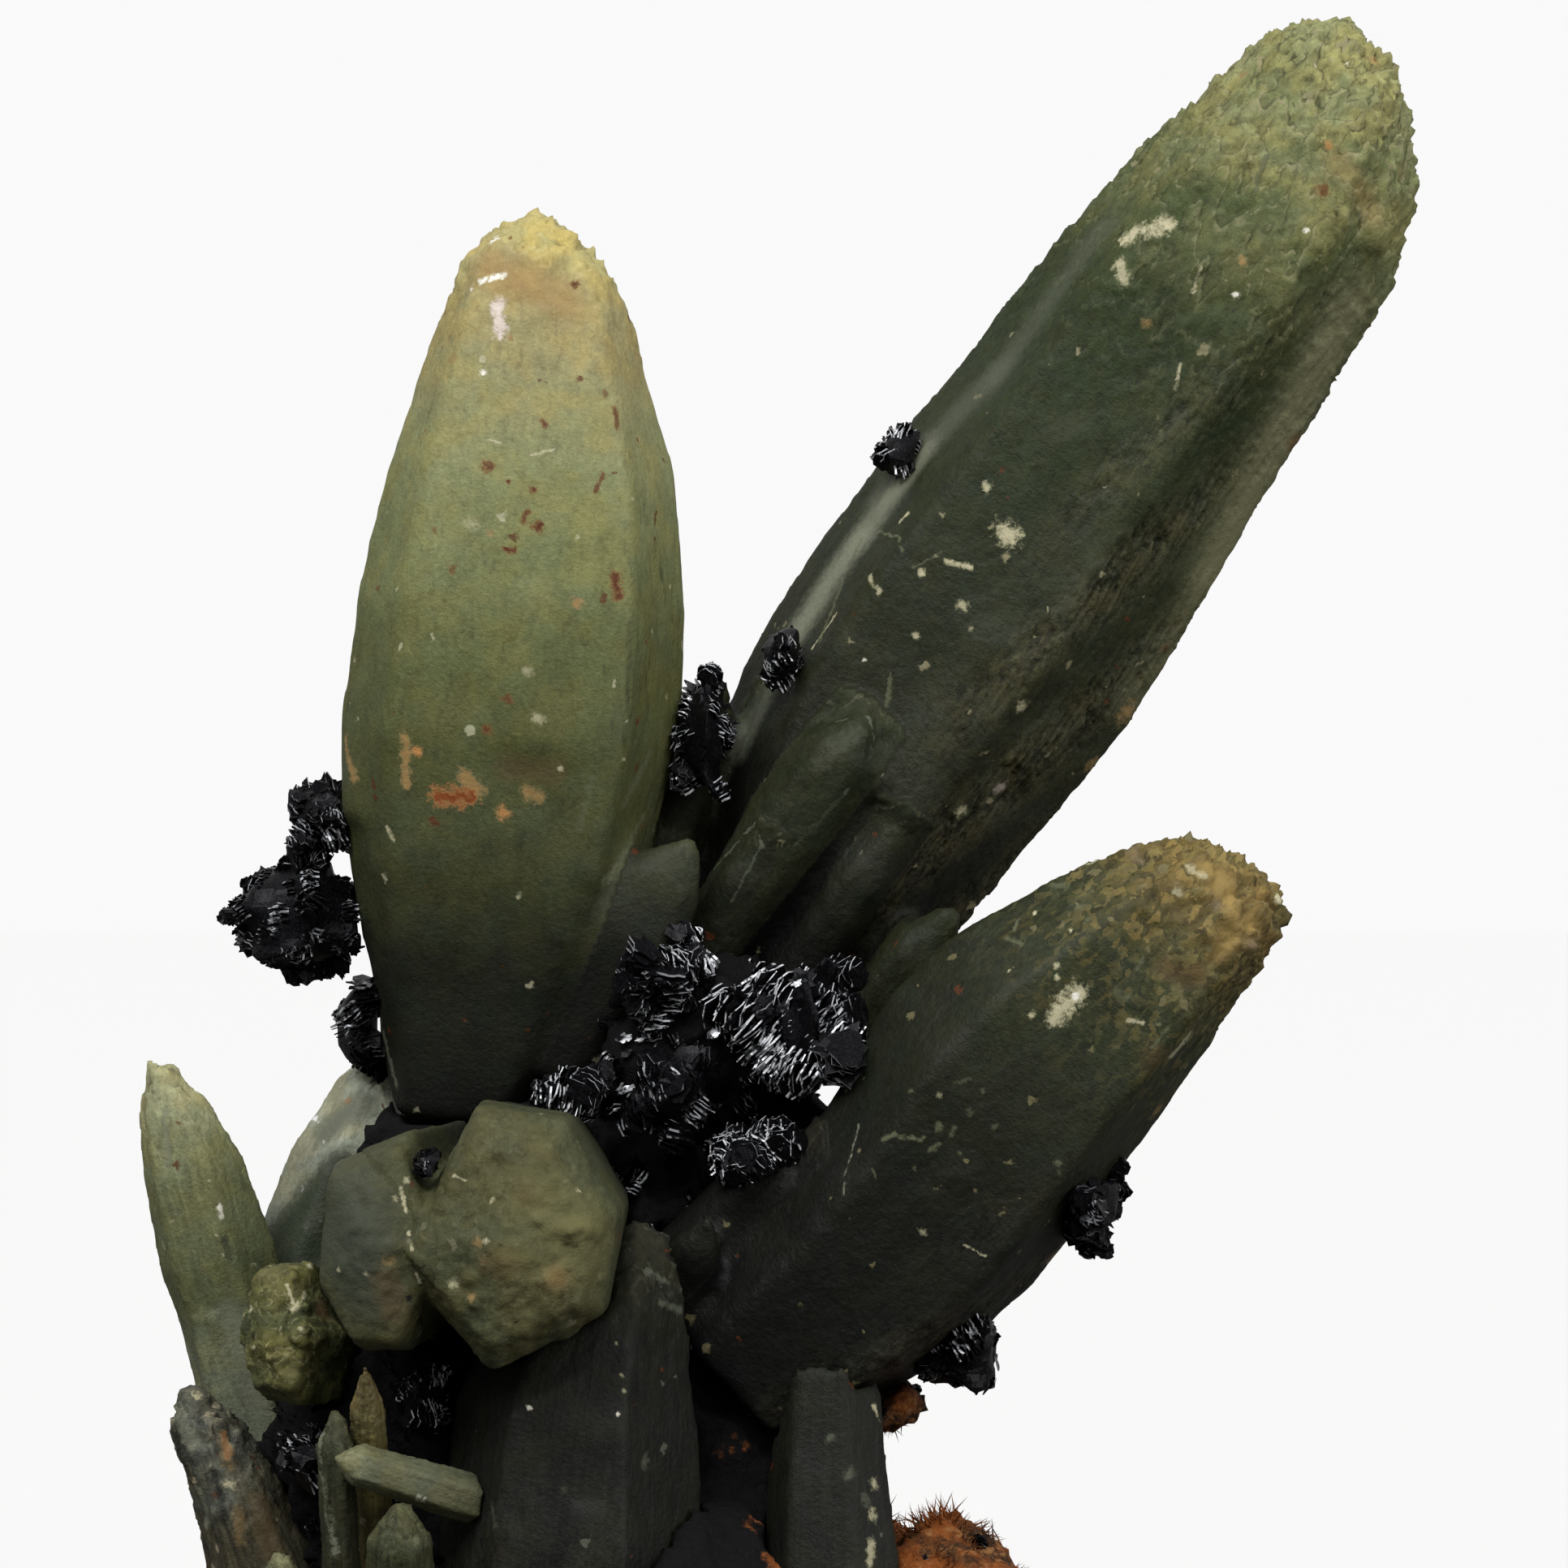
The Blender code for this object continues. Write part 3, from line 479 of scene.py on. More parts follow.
@dataclass(frozen=True)
class QuartzFinish:
    """Green quartz: its colour from the tip to the root, which darkens towards the root partly as darker
    stone and partly as painted shade, and what lies on it.
    """

    name: str
    ramp: tuple[tuple[float, Colour], ...]     # distance from the tip in millimetres, colour; darker towards the root, partly as painted shade
    crust: Colour
    slot: Slot = Slot.PALE
    pale: Colour = (0.34, 0.34, 0.22)          # chips, and the painted highlight on the rims of scales
    groove_tint: Colour = (0.06, 0.057, 0.043)
    # how strong the painted highlight on the rims of scales is, which also sets the painted shadow below them
    rim_share: float = 0.4
    roughness: float = 0.45
    fleck_share: float = 0.08
    rust_share: float = 0.02
    striation: float = 0.0
    contrast: float = 1.7
    bump: float = 0.5
    bump_depth: float = 0.22
    gloss: float = 0.26
    granular: float = 0.0                      # how clearly the grains show near the tip
    granular_zone: tuple[float, float] = (4.0, 24.0)
    mark_tear: float = 3.4                     # how torn the edge of a narrow mark is
    wide_mark: float = 1.0                     # from this width on a mark is torn a quarter as much

    def material(self, effects: Effects, spots: list[tuple[list[Vector], Spot]]) -> bpy.types.Material:
        """Builds the material.

        Args:
            effects: The shared node groups.
            spots: The marks on this crystal, each with the places of its ends in metres.

        Returns:
            The material.
        """
        paint = Paint(self.name)
        place = paint.attribute("local", "Vector")
        crust, relief = paint.attribute("crust"), paint.attribute("relief")
        groove, level = paint.attribute("groove"), paint.attribute("level")
        along = paint.part(place, "Z")
        grain = paint.group(effects.grain, {"Place": place})
        tone = grain["Tone"]
        near = (1.0 - paint.step(along, *self.granular_zone)) * self.granular
        values = {"Place": grain["Torn"], "Pale Share": near * 0.3 + (groove * 0.10 + self.fleck_share),
                  "Rust Share": self.rust_share}
        flecks = paint.group(effects.flecks, values)
        colour = self.body_colour(paint, along, grain["Mottling"])
        crusted = paint.step(crust, 0.25, 1.0) * paint.step(grain["Mottling"], 0.3, 0.62)
        colour = paint.mix(crusted, colour, self.crust)
        colour = paint.mix(groove * paint.step(tone, 0.35, 0.55) * 0.5, colour, self.groove_tint)
        colour = paint.mix(near * paint.step(flecks["Grain"], 0.45, 1.3), colour, self.crust)
        lines = (grain["Striae"] - 0.5) * paint.math("MAXIMUM", groove, self.striation)
        layer = paint.math("FRACT", level)
        # Painted shadow at the foot of each scale's rim, and painted shade where the relief is low.
        foot = (1.0 - paint.step(layer, 0.0, 0.2)) * crust * min(1.0, self.rim_share * 1.3)
        painted_recess_shade = 1.0 - paint.step(relief, -0.1, 0.42) + foot
        light = (tone - 0.5) * self.contrast + 1.0 + (flecks["Grain"] - 0.45) * near * 1.3
        light = light * (lines * 2.4 + 1.0) * (1.0 - painted_recess_shade * 0.5)
        colour = paint.mix(1.0, paint.darkened(colour, light), grain["Tint"], "MULTIPLY")
        # Painted highlight along the rims of the scales.
        rims = paint.step(layer, 0.74, 0.90) * paint.step(tone, 0.46, 0.56)
        colour = paint.mix(rims * paint.math("POWER", crust, 1.6) * self.rim_share, colour, self.pale)
        colour = paint.mix(flecks["Pale"] * 0.7, colour, self.pale)
        colour = paint.mix(flecks["Rust"] * 0.8, colour, Mark.RUST.value[0])
        normal = paint.bump(self.bump, self.bump_depth, lines * 1.2 + grain["Height"])
        return paint.finished({"Base Color": self.with_marks(paint, effects, colour, spots), "Normal": normal,
                               "Roughness": crust * 0.2 + self.roughness + tone * 0.2, "IOR": 1.54,
                               "Specular IOR Level": self.gloss})

    def toned(self, name: str, tone: Colour) -> "QuartzFinish":
        """The same finish, lighter or darker.

        Args:
            name: The new finish's name.
            tone: What its red, green and blue are multiplied by.

        Returns:
            The new finish.
        """
        def changed(colour: Colour) -> Colour:
            """One colour with the tone."""
            return tuple(share * by for share, by in zip(colour, tone))

        ramp = tuple((distance, changed(colour)) for distance, colour in self.ramp)
        return replace(self, name=name, ramp=ramp, crust=changed(self.crust), pale=changed(self.pale))

    def body_colour(self, paint: Paint, along: Value, mottling: Value) -> Value:
        """The colour along the crystal, with its bands made uneven.

        Args:
            paint: The material.
            along: The distance from the tip.
            mottling: A slow noise.

        Returns:
            The colour.
        """
        longest = self.ramp[-1][0]
        node = paint.node("ShaderNodeValToRGB", {0: ((mottling - 0.5) * 14.0 + along) / longest})
        node.color_ramp.interpolation = "LINEAR"
        elements = node.color_ramp.elements
        while len(elements) < len(self.ramp):
            elements.new(0.5)
        for element, (distance, colour) in zip(elements, self.ramp):
            element.position = distance / longest
            element.color = (*colour, 1.0)
        return Value(paint, node.outputs[0])

    def with_marks(self, paint: Paint, effects: Effects, colour: Value, spots: list) -> Value:
        """Lays the marks over a colour.

        Args:
            paint: The material.
            effects: The shared node groups.
            colour: The colour below.
            spots: The marks and the places of their ends.

        Returns:
            The colour with the marks.
        """
        if not spots:
            return colour
        place = paint.torn(paint.millimetres(), 1.3, 0.45)
        tear = (paint.noise(place, 1.9, 4.0, 0.75) - 0.5) * self.mark_tear
        fine_tear = tear * 0.25
        for (near, far), spot in spots:
            along = (far - near) * METRE
            over = along / max(along.length_squared, 0.0001)
            masks = paint.group(effects.mark, {
                "Place": place, "Start": tuple(near * METRE), "Along": tuple(along), "Over": tuple(over),
                "Width": spot.width * 1.15, "Tear": tear if spot.width < self.wide_mark else fine_tear})
            middle, edge = spot.kind.value
            colour = paint.mix(masks["Whole"] * (spot.strength * 0.85), colour, edge)
            colour = paint.mix(masks["Middle"] * spot.strength, colour, middle)
        return colour


@dataclass(frozen=True)
class HematiteFinish:
    """Black hematite whose thin plates have a painted glint on their rims."""

    name: str = "hematite_plates"
    black: Colour = (0.004, 0.004, 0.005)
    grey: Colour = (0.013, 0.0135, 0.0155)
    # the colour of the painted glint on the plates' rims
    painted_glint: Colour = (0.86, 0.88, 0.92)
    metallic: float = 0.35
    gloss: float = 0.14

    def material(self) -> bpy.types.Material:
        """Builds the material.

        Returns:
            The material.
        """
        paint = Paint(self.name)
        place = paint.millimetres()
        rim = paint.attribute("rim")
        fine = paint.noise(place, 5.0, 3.0, 0.6)
        # patch and broken pick where the painted glint shows on the rims.
        patch = paint.step(rim * 0.2 + paint.noise(place, 0.45), 0.54, 0.64) * paint.step(rim, 0.0, 0.1)
        broken = paint.step(paint.noise(place, 1.2, 3.0, 0.65), 0.41, 0.53)
        colour = paint.mix(paint.step(fine, 0.45, 0.7), self.black, self.grey)
        colour = paint.mix((rim * 0.5 + 0.4) * (patch * broken), colour, self.painted_glint)
        return paint.finished({"Base Color": colour, "Roughness": fine * 0.3 + 0.18,
                               "Normal": paint.bump(0.4, 0.08, fine), "Metallic": self.metallic,
                               "Specular IOR Level": self.gloss})


@dataclass(frozen=True)
class RockFinish:
    """The matrix and its needles: rusty where it has weathered, and black elsewhere, partly as hematite and
    partly as painted shade between the crystals.
    """

    name: str = "matrix_rust"
    # near black: hematite, and painted shade where the matrix lies between the crystals
    black: Colour = (0.006, 0.006, 0.0065)
    brown: Colour = (0.095, 0.045, 0.018)
    rust: Colour = (0.26, 0.075, 0.016)
    tan: Colour = (0.29, 0.14, 0.05)
    rusty_from: float = 14.0        # how far to the right the rust starts, in millimetres
    rusty_over: float = 5.0         # the width over which it gets its full strength
    evenly: float = 0.0             # how rusty it is everywhere
    top: tuple[float, float] = (28.0, 40.0)     # the heights between which the rust fades out
    back: tuple[float, float] = (4.0, 16.0)     # the depths between which the back gets rusty

    def material(self) -> bpy.types.Material:
        """Builds the material.

        Returns:
            The material.
        """
        paint = Paint(self.name)
        place = paint.millimetres()
        patch = paint.noise(place, 0.22, 4.0, 0.65)
        fine = paint.noise(place, 1.8, 5.0, 0.7)
        low = 1.0 - paint.step(paint.part(place, "Z"), *self.top)
        across = (patch - 0.5) * 50.0 + paint.part(place, "X")
        right = paint.step(across, self.rusty_from, self.rusty_from + self.rusty_over)
        behind = paint.step(paint.part(place, "Y"), *self.back) * 0.7
        weathered = paint.math("MAXIMUM", low * paint.math("MAXIMUM", right, behind), self.evenly)
        dusty = paint.step(paint.noise(place, 0.9, 4.0, 0.7), 0.52, 0.66) * weathered
        colour = paint.mix(weathered * paint.step(fine, 0.3, 0.6), self.black, self.brown)
        colour = paint.mix(paint.step(patch, 0.40, 0.56) * weathered, colour, self.rust)
        colour = paint.darkened(paint.mix(dusty * 0.8, colour, self.tan), fine * 1.6 + 0.2)
        return paint.finished({"Base Color": colour, "Normal": paint.bump(0.9, 0.5, fine), "Roughness": 0.75,
                               "Specular IOR Level": 0.15})


# Making pieces


def pick(piece: bpy.types.Object) -> None:
    """Makes one object the only selected one and the active one.

    Args:
        piece: The object.
    """
    bpy.ops.object.select_all(action="DESELECT")
    piece.select_set(True)
    bpy.context.view_layer.objects.active = piece


def edit_all(operator: Callable, **settings: object) -> None:
    """Runs an operator of edit mode on the whole active mesh.

    Args:
        operator: The operator.
        settings: Its settings.
    """
    bpy.ops.object.mode_set(mode="EDIT")
    bpy.ops.mesh.select_all(action="SELECT")
    operator(**settings)
    bpy.ops.object.mode_set(mode="OBJECT")


def copied(piece: bpy.types.Object) -> bpy.types.Object:
    """A copy of an object with its own mesh.

    Args:
        piece: The object.

    Returns:
        The copy.
    """
    copy = piece.copy()
    copy.data = piece.data.copy()
    bpy.context.scene.collection.objects.link(copy)
    return copy


def copy_of_node(node: str, name: str) -> bpy.types.Object:
    """A copy of a solid of the frame, with its loose triangles merged.

    Args:
        node: The solid.
        name: The copy's name.

    Returns:
        The copy.
    """
    piece = copied(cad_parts[node])
    piece.name = piece.data.name = name
    piece.parent = None
    for key in list(piece.keys()):
        del piece[key]
    pick(piece)
    edit_all(bpy.ops.mesh.remove_doubles, threshold=MERGE * MM)
    return piece


def apply_modifier(piece: bpy.types.Object, kind: str, **settings: object) -> None:
    """Adds a modifier and applies it.

    Args:
        piece: The object.
        kind: The modifier's type.
        settings: The modifier's settings.
    """
    step = piece.modifiers.new(kind.lower(), kind)
    for name, value in settings.items():
        setattr(step, name, value)
    pick(piece)
    bpy.ops.object.modifier_apply(modifier=step.name)


def remesh(piece: bpy.types.Object, voxel: float, smoothing: int) -> None:
    """Gives a piece an even mesh with faces of a size in millimetres, and wears its edges down."""
    apply_modifier(piece, "REMESH", mode="VOXEL", voxel_size=voxel * MM)
    apply_modifier(piece, "SMOOTH", factor=0.5, iterations=smoothing)


def apply_relief(piece: bpy.types.Object, tree: bpy.types.NodeTree, values: dict[str, float]) -> None:
    """Adds a geometry node group as a modifier, applies it and smooths the shading.

    Args:
        piece: The object.
        tree: The group.
        values: The group's inputs by name.
    """
    step = piece.modifiers.new("relief", "NODES")
    step.node_group = tree
    for item in tree.interface.items_tree:
        if item.in_out == "INPUT" and item.name in values:
            step[item.identifier] = values[item.name]
    pick(piece)
    bpy.ops.object.modifier_apply(modifier=step.name)
    bpy.ops.object.shade_smooth()


def dress(piece: bpy.types.Object, material: bpy.types.Material, slot: Slot, *nodes: str) -> None:
    """Gives a piece its material and its body, and hides the solids that it stands for.

    Args:
        piece: The object.
        material: Its material.
        slot: The material slot; not used.
        nodes: The solids that it stands for.
    """
    piece.data.materials.clear()
    piece.data.materials.append(material)
    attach(piece, BODY)
    if nodes:
        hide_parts(*nodes)


def vectors(items: bpy.types.bpy_prop_collection, key: str) -> np.ndarray:
    """A vector of each point or face of a mesh, one a row.

    Args:
        items: The points or faces.
        key: Which vector.

    Returns:
        The vectors.
    """
    values = np.empty(len(items) * 3, np.float32)
    items.foreach_get(key, values)
    return values.reshape(-1, 3)


def sight(across: float, up: float) -> tuple[Vector, Vector]:
    """Where the viewer's eye is, in metres, and which way it sees a place of the picture's plane."""
    eye = Vector(EYE)
    return eye * MM, (Vector((across, 0.0, up)) - eye).normalized()


def jitter(rng: random.Random, reach: float) -> Vector:
    """A random vector that goes as far as the reach either way along each axis."""
    return Vector([rng.uniform(-reach, reach) for _ in range(3)])


@dataclass
class Growth:
    """One crystal's axis, in millimetres, and how wide it is, to tell which crystal a point belongs to."""

    SIDEWAYS = 0.6              # an axis with less of its length across the view has its right along X
    END_SHARE = 3.0             # how much more a step past an end counts than one to the side

    tip: Triple
    root: Triple
    width: float
    zone: float = 12.0          # how far the crust reaches from the tip
    shade: float = 0.0          # how far down the main crystal its colour starts

    def __post_init__(self) -> None:
        """Works out the crystal's own axes."""
        self.start = np.array(self.tip)
        axis = np.array(self.root) - self.start
        self.length = float(np.linalg.norm(axis))
        self.axis = axis / self.length
        across = np.cross(self.axis, (0.0, 1.0, 0.0))
        size = float(np.linalg.norm(across))
        right = across / size if size > self.SIDEWAYS else np.array((1.0, 0.0, 0.0))
        back = np.cross(right, self.axis)
        self.back = back / np.linalg.norm(back)
        self.right = np.cross(self.axis, self.back)

    def local(self, points: np.ndarray) -> np.ndarray:
        """Points in the crystal's own axes: right, back, and the distance from the tip."""
        return (points - self.start) @ np.stack((self.right, self.back, self.axis), axis=1)

    def strangeness(self, local: np.ndarray) -> np.ndarray:
        """How far outside the crystal each point of its own axes is, as a share of its width."""
        beyond = np.maximum(0.0, -local[:, 2]) + np.maximum(0.0, local[:, 2] - self.length)
        return (np.hypot(local[:, 0], local[:, 1]) + self.END_SHARE * beyond) / self.width


@dataclass
class CrystalPiece:
    """A crystal, grown over its solid."""

    WORN_VOXEL = 0.7             # the mesh on which a solid's edges are worn, in millimetres
    GROOVE_FADE = 7.0            # over this width the grooves set in
    GROOVE_START = 15.0          # how far from the tip they start
    GROOVE_LENGTH = 25.0         # and how far on they have their full depth
    PATTERN_SHIFT = (11.0, 7.0)  # between the patterns of crystals that grew together
    SIDE_CRUST = 0.35            # how crusted a shaded side crystal is
    CRUST_END = 1.1              # where the crust has faded out, as a share of its zone
    GROOVE_WAVES = (0.9, 0.31)   # how fast the grooves come and go across and along

    node: str
    finish: QuartzFinish
    growths: tuple[Growth, ...]
    voxel: float = 0.42          # millimetres
    scales: float = 0.45         # heights of the relief, in millimetres
    crust: float = 0.45
    points: float = 0.6
    grooves: float = 0.0
    groove_from: float = -99.0   # how far to the right the grooves start
    swell: float = 0.5
    scale_size: tuple[float, float] = (2.4, 7.0)
    spots: tuple[Spot, ...] = ()
    smoothing: int = 6
    soften: int = 0              # how far the solid's edges are worn first
    piece: bpy.types.Object = field(init=False)

    def build(self, effects: Effects) -> bpy.types.Object:
        """Grows the crystal and dresses it.

        Args:
            effects: The shared node groups.

        Returns:
            The finished piece.
        """
        self.piece = copy_of_node(self.node, f"{self.node}_grown")
        if self.soften:
            remesh(self.piece, self.WORN_VOXEL, self.soften)
        remesh(self.piece, self.voxel, self.smoothing)
        self.mark_zones()
        values = {"Scales": self.scales, "Crust": self.crust, "Points": self.points, "Grooves": self.grooves,
                  "Swell": self.swell, "Scale Width": self.scale_size[0], "Scale Length": self.scale_size[1]}
        apply_relief(self.piece, effects.growth, values)
        spots = [([self.surface_at(*end) for end in spot.ends()], spot) for spot in self.spots]
        dress(self.piece, self.finish.material(effects, spots), self.finish.slot, self.node)
        return self.piece

    def mark_zones(self) -> None:
        """Stores each point's place in its own crystal's axes, and how crusted and grooved it is there."""
        points = vectors(self.piece.data.vertices, "co") * METRE
        places = [growth.local(points) for growth in self.growths]
        owner = np.argmin([g.strangeness(p) for g, p in zip(self.growths, places)], axis=0)
        zone, shade = (np.array([getattr(g, key) for g in self.growths])[owner] for key in ("zone", "shade"))
        local = np.select([(owner == k)[:, None] for k in range(len(places))], places)
        right, _, down = local.T
        crust = np.clip(self.CRUST_END - down / zone, 0.0, 1.0)
        crust = crust * np.where(shade > 0.0, self.SIDE_CRUST, 1.0)
        groove = np.clip((right - self.groove_from) / self.GROOVE_FADE, 0.0, 1.0)
        groove = groove * np.clip((down - self.GROOVE_START) / self.GROOVE_LENGTH, 0.0, 1.0)
        local = local + np.stack((*(owner * by for by in self.PATTERN_SHIFT), shade), axis=1)
        wave = local[:, 0] * self.GROOVE_WAVES[0] + local[:, 2] * self.GROOVE_WAVES[1]
        groove = groove * (0.55 + 0.45 * np.sin(wave))
        self.store("tipward", "FLOAT_VECTOR", -np.array([g.axis for g in self.growths])[owner])
        self.store("local", "FLOAT_VECTOR", local)
        self.store("crust", "FLOAT", crust)
        self.store("groove", "FLOAT", groove)

    def store(self, name: str, kind: str, values: np.ndarray) -> None:
        """Stores an attribute on the piece's points.

        Args:
            name: The attribute's name.
            kind: Its type.
            values: The values.
        """
        attribute = self.piece.data.attributes.new(name, kind, "POINT")
        key = "vector" if kind == "FLOAT_VECTOR" else "value"
        attribute.data.foreach_set(key, np.ascontiguousarray(values, np.float32).ravel())

    def surface_at(self, across: float, up: float) -> Vector:
        """The place on the piece, in metres, that the viewer sees at a place of the picture's plane."""
        hit, place, _, _ = self.piece.ray_cast(*sight(across, up))
        return place if hit else Vector((across, self.growths[0].tip[1], up)) * MM


# Hematite


class PlateStock:
    """A few thin plates, modelled once, that every rose is stacked from."""

    SHAPES = 5
    SEED = 50
    SIDES = 10                   # of the first plate, and one more for each other one
    RIM_REACH = (0.5, 1.0)       # how far the rim of a plate goes out, as a share of its radius
    LIFT = 0.7                   # how wavy the rim is, as a share of the thickness
    FILLED = 0.8                 # how wide a book is, as a share of its radius
    FEWEST = 3                   # plates in a book
    RADIUS = (0.70, 1.08)        # how the radius of a book varies
    SHIFT = 0.35                 # how unevenly its plates are spaced
    SIZE = (0.40, 0.56)          # a plate's radius, as a share of the book's
    REACH = (0.9, 1.03)          # how far out the plate goes
    NARROW = (0.6, 1.0)          # how narrow it is
    TILT = 0.13                  # how far it leans
    THICKNESS = (0.07, 0.19)     # millimetres

    def __init__(self) -> None:
        """Makes the plates, each one unit in radius and one unit thick."""
        self.plates = [self.make_plate(k) for k in range(self.SHAPES)]

    def make_plate(self, k: int) -> bpy.types.Object:
        """Models one plate: a thin disc whose rim is uneven and wavy.

        Args:
            k: Which plate it is.

        Returns:
            The plate.
        """
        count = self.SIDES + k
        bpy.ops.object.select_all(action="DESELECT")
        bpy.ops.mesh.primitive_cylinder_add(vertices=count, radius=1.0, depth=1.0, end_fill_type="TRIFAN")
        plate = bpy.context.active_object
        plate.name = f"plate_{k}"
        rng = random.Random(self.SEED + k)
        reach = [rng.uniform(*self.RIM_REACH) for _ in range(count)]
        lift = [rng.uniform(-self.LIFT, self.LIFT) for _ in range(count)]
        rims = [1.0 if abs(face.normal.z) < 0.5 else 0.0 for face in plate.data.polygons]
        plate.data.attributes.new("rim", "FLOAT", "FACE").data.foreach_set("value", rims)
        for vert in plate.data.vertices:
            if math.hypot(vert.co.x, vert.co.y) > 0.5:
                turn = round(math.atan2(vert.co.y, vert.co.x) / (2 * math.pi) * count) % count
                vert.co.x *= reach[turn]
                vert.co.y *= reach[turn]
                vert.co.z += lift[turn]
        edit_all(bpy.ops.mesh.quads_convert_to_tris)
        return plate

    def placed(self, k: int, place: Matrix) -> bpy.types.Object:
        """A copy of a plate with its place in its own mesh.

        Args:
            k: Which plate it is.
            place: Where it goes.

        Returns:
            The copy.
        """
        plate = copied(self.plates[k])
        plate.data.transform(place)
        return plate

    def book(self, rng: random.Random, foot: Vector, out: Vector, side: Vector, radius: float,
             spacing: float) -> list[bpy.types.Object]:
        """Places one book of plates that lie nearly flat on each other.

        Args:
            rng: The seeded randomness.
            foot: Where the book's foot goes, in millimetres.
            out: Which way the book stands out.
            side: Across its plates.
            radius: How far it stands out, in millimetres.
            spacing: From one plate to the next.

        Returns:
            The plates.
        """
        made = []
        count = max(self.FEWEST, round(radius * self.FILLED / spacing))
        radius *= rng.uniform(*self.RADIUS)
        for k in range(count):
            shift = (k - count / 2 + rng.uniform(-self.SHIFT, self.SHIFT)) * spacing
            outline = math.sqrt(max(0.2, 1 - (shift / radius / 0.75) ** 2))
            size = radius * rng.uniform(*self.SIZE) * outline
            tilt = jitter(rng, self.TILT)
            away = out * (radius * rng.uniform(*self.REACH) - size) * max(0.5, 1 - abs(shift) / radius * 0.5)
            turn = facing(side + tilt, out) @ Matrix.Rotation(rng.uniform(0, ALL_ROUND), 4, "Z")
            sizes = (size, size * rng.uniform(*self.NARROW), rng.uniform(*self.THICKNESS))
            scale = Matrix.Diagonal((*(length * MM for length in sizes), 1.0))
            middle = Matrix.Translation((foot + away + side * shift) * MM)
            made.append(self.placed(rng.randrange(self.SHAPES), middle @ turn @ scale))
        return made

    def clear(self) -> None:
        """Takes the stock away again."""
        for plate in self.plates:
            bpy.data.objects.remove(plate)


def facing(direction: Vector, upright: Vector) -> Matrix:
    """A turn whose Z runs along a direction and whose X lies as near as it can to another.

    Args:
        direction: Where Z goes.
        upright: Where X goes.

    Returns:
        The turn.
    """
    z = direction.normalized()
    x = (upright - z * upright.dot(z)).normalized()
    return Matrix((x, z.cross(x), z)).transposed().to_4x4()


def joined(made: list[bpy.types.Object], name: str, glint: float | None = None) -> bpy.types.Object:
    """Joins objects into one piece.

    Args:
        made: The objects.
        name: The piece's name.
        glint: How bright the painted glint on the rims of its plates is, if it has plates.

    Returns:
        The piece.
    """
    pick(made[0])
    for part in made:
        part.select_set(True)
    bpy.ops.object.join()
    piece = bpy.context.active_object
    piece.name = piece.data.name = name
    if glint is not None:
        rims = piece.data.attributes["rim"].data
        values = np.empty(len(rims), np.float32)
        rims.foreach_get("value", values)
        rims.foreach_set("value", values * glint)
    return piece


class Surface:
    """The faces of a piece, to scatter small things on."""

    FRONTAL = -0.25              # a normal's Y below which a face looks to the front

    def __init__(self, piece: bpy.types.Object) -> None:
        """Reads the middles of the faces, in millimetres, and their normals."""
        self.centres = vectors(piece.data.polygons, "center") * METRE
        self.normals = vectors(piece.data.polygons, "normal")

    def scatter(self, zone: Zone, count: int, seed: int,
                in_front: bool = False) -> list[tuple[Vector, Vector]]:
        """Picks places on the faces whose middle lies in a zone.

        Args:
            zone: The zone's lowest and highest corner, in millimetres.
            count: How many places.
            seed: The randomness.
            in_front: Whether only faces that look to the front count.

        Returns:
            The places and their normals.
        """
        low, high = zone
        inside = np.all((self.centres > low) & (self.centres < high), axis=1)
        if in_front:
            inside &= self.normals[:, 1] < self.FRONTAL
        picked = np.random.default_rng(seed).choice(np.flatnonzero(inside), count)
        return [(Vector(self.centres[k].tolist()), Vector(self.normals[k].tolist())) for k in picked]


@dataclass
class Rose:
    """A hematite rose: a black core with small books of thin plates that stand all over it."""

    CORE_VOXEL = 0.5             # millimetres
    CORE_SMOOTHING = 8
    SPACING = 0.29               # from plate to plate
    SUNK = 0.55                  # how deep a book's foot lies, as a share of its radius
    LOOSE = 0.3                  # how far a book strays from the way its place gives it

    node: str
    books: int = 50
    # how bright the painted glint on its plates' rims is
    glint: float = 0.5
    radius: tuple[float, float] = (2.2, 3.6)
    swirl: float = 0.2           # how fast the books turn from one place to the next
    seed: int = 1

    def build(self, stock: PlateStock, material: bpy.types.Material) -> bpy.types.Object:
        """Stacks the rose over its solid and dresses it.

        Args:
            stock: The plates.
            material: The hematite.

        Returns:
            The finished piece.
        """
        rng = random.Random(self.seed)
        core = copy_of_node(self.node, f"{self.node}_core")
        remesh(core, self.CORE_VOXEL, self.CORE_SMOOTHING)
        made = [core]
        phase = rng.uniform(0.0, ALL_ROUND)
        for place, normal in Surface(core).scatter(EVERYWHERE, self.books, self.seed):
            out = (normal + jitter(rng, self.LOOSE)).normalized()
            lay = Vector([math.sin(self.swirl * place[k] + phase * (k + 1)) for k in range(3)])
            side = out.cross(lay + jitter(rng, self.LOOSE)).normalized()
            radius = rng.uniform(*self.radius)
            made += stock.book(rng, place - normal * radius * self.SUNK, out, side, radius, self.SPACING)
        core.data.attributes.new("rim", "FLOAT", "FACE")
        piece = joined(made, f"{self.node}_plates", self.glint)
        dress(piece, material, Slot.HEMATITE, self.node)
        return piece


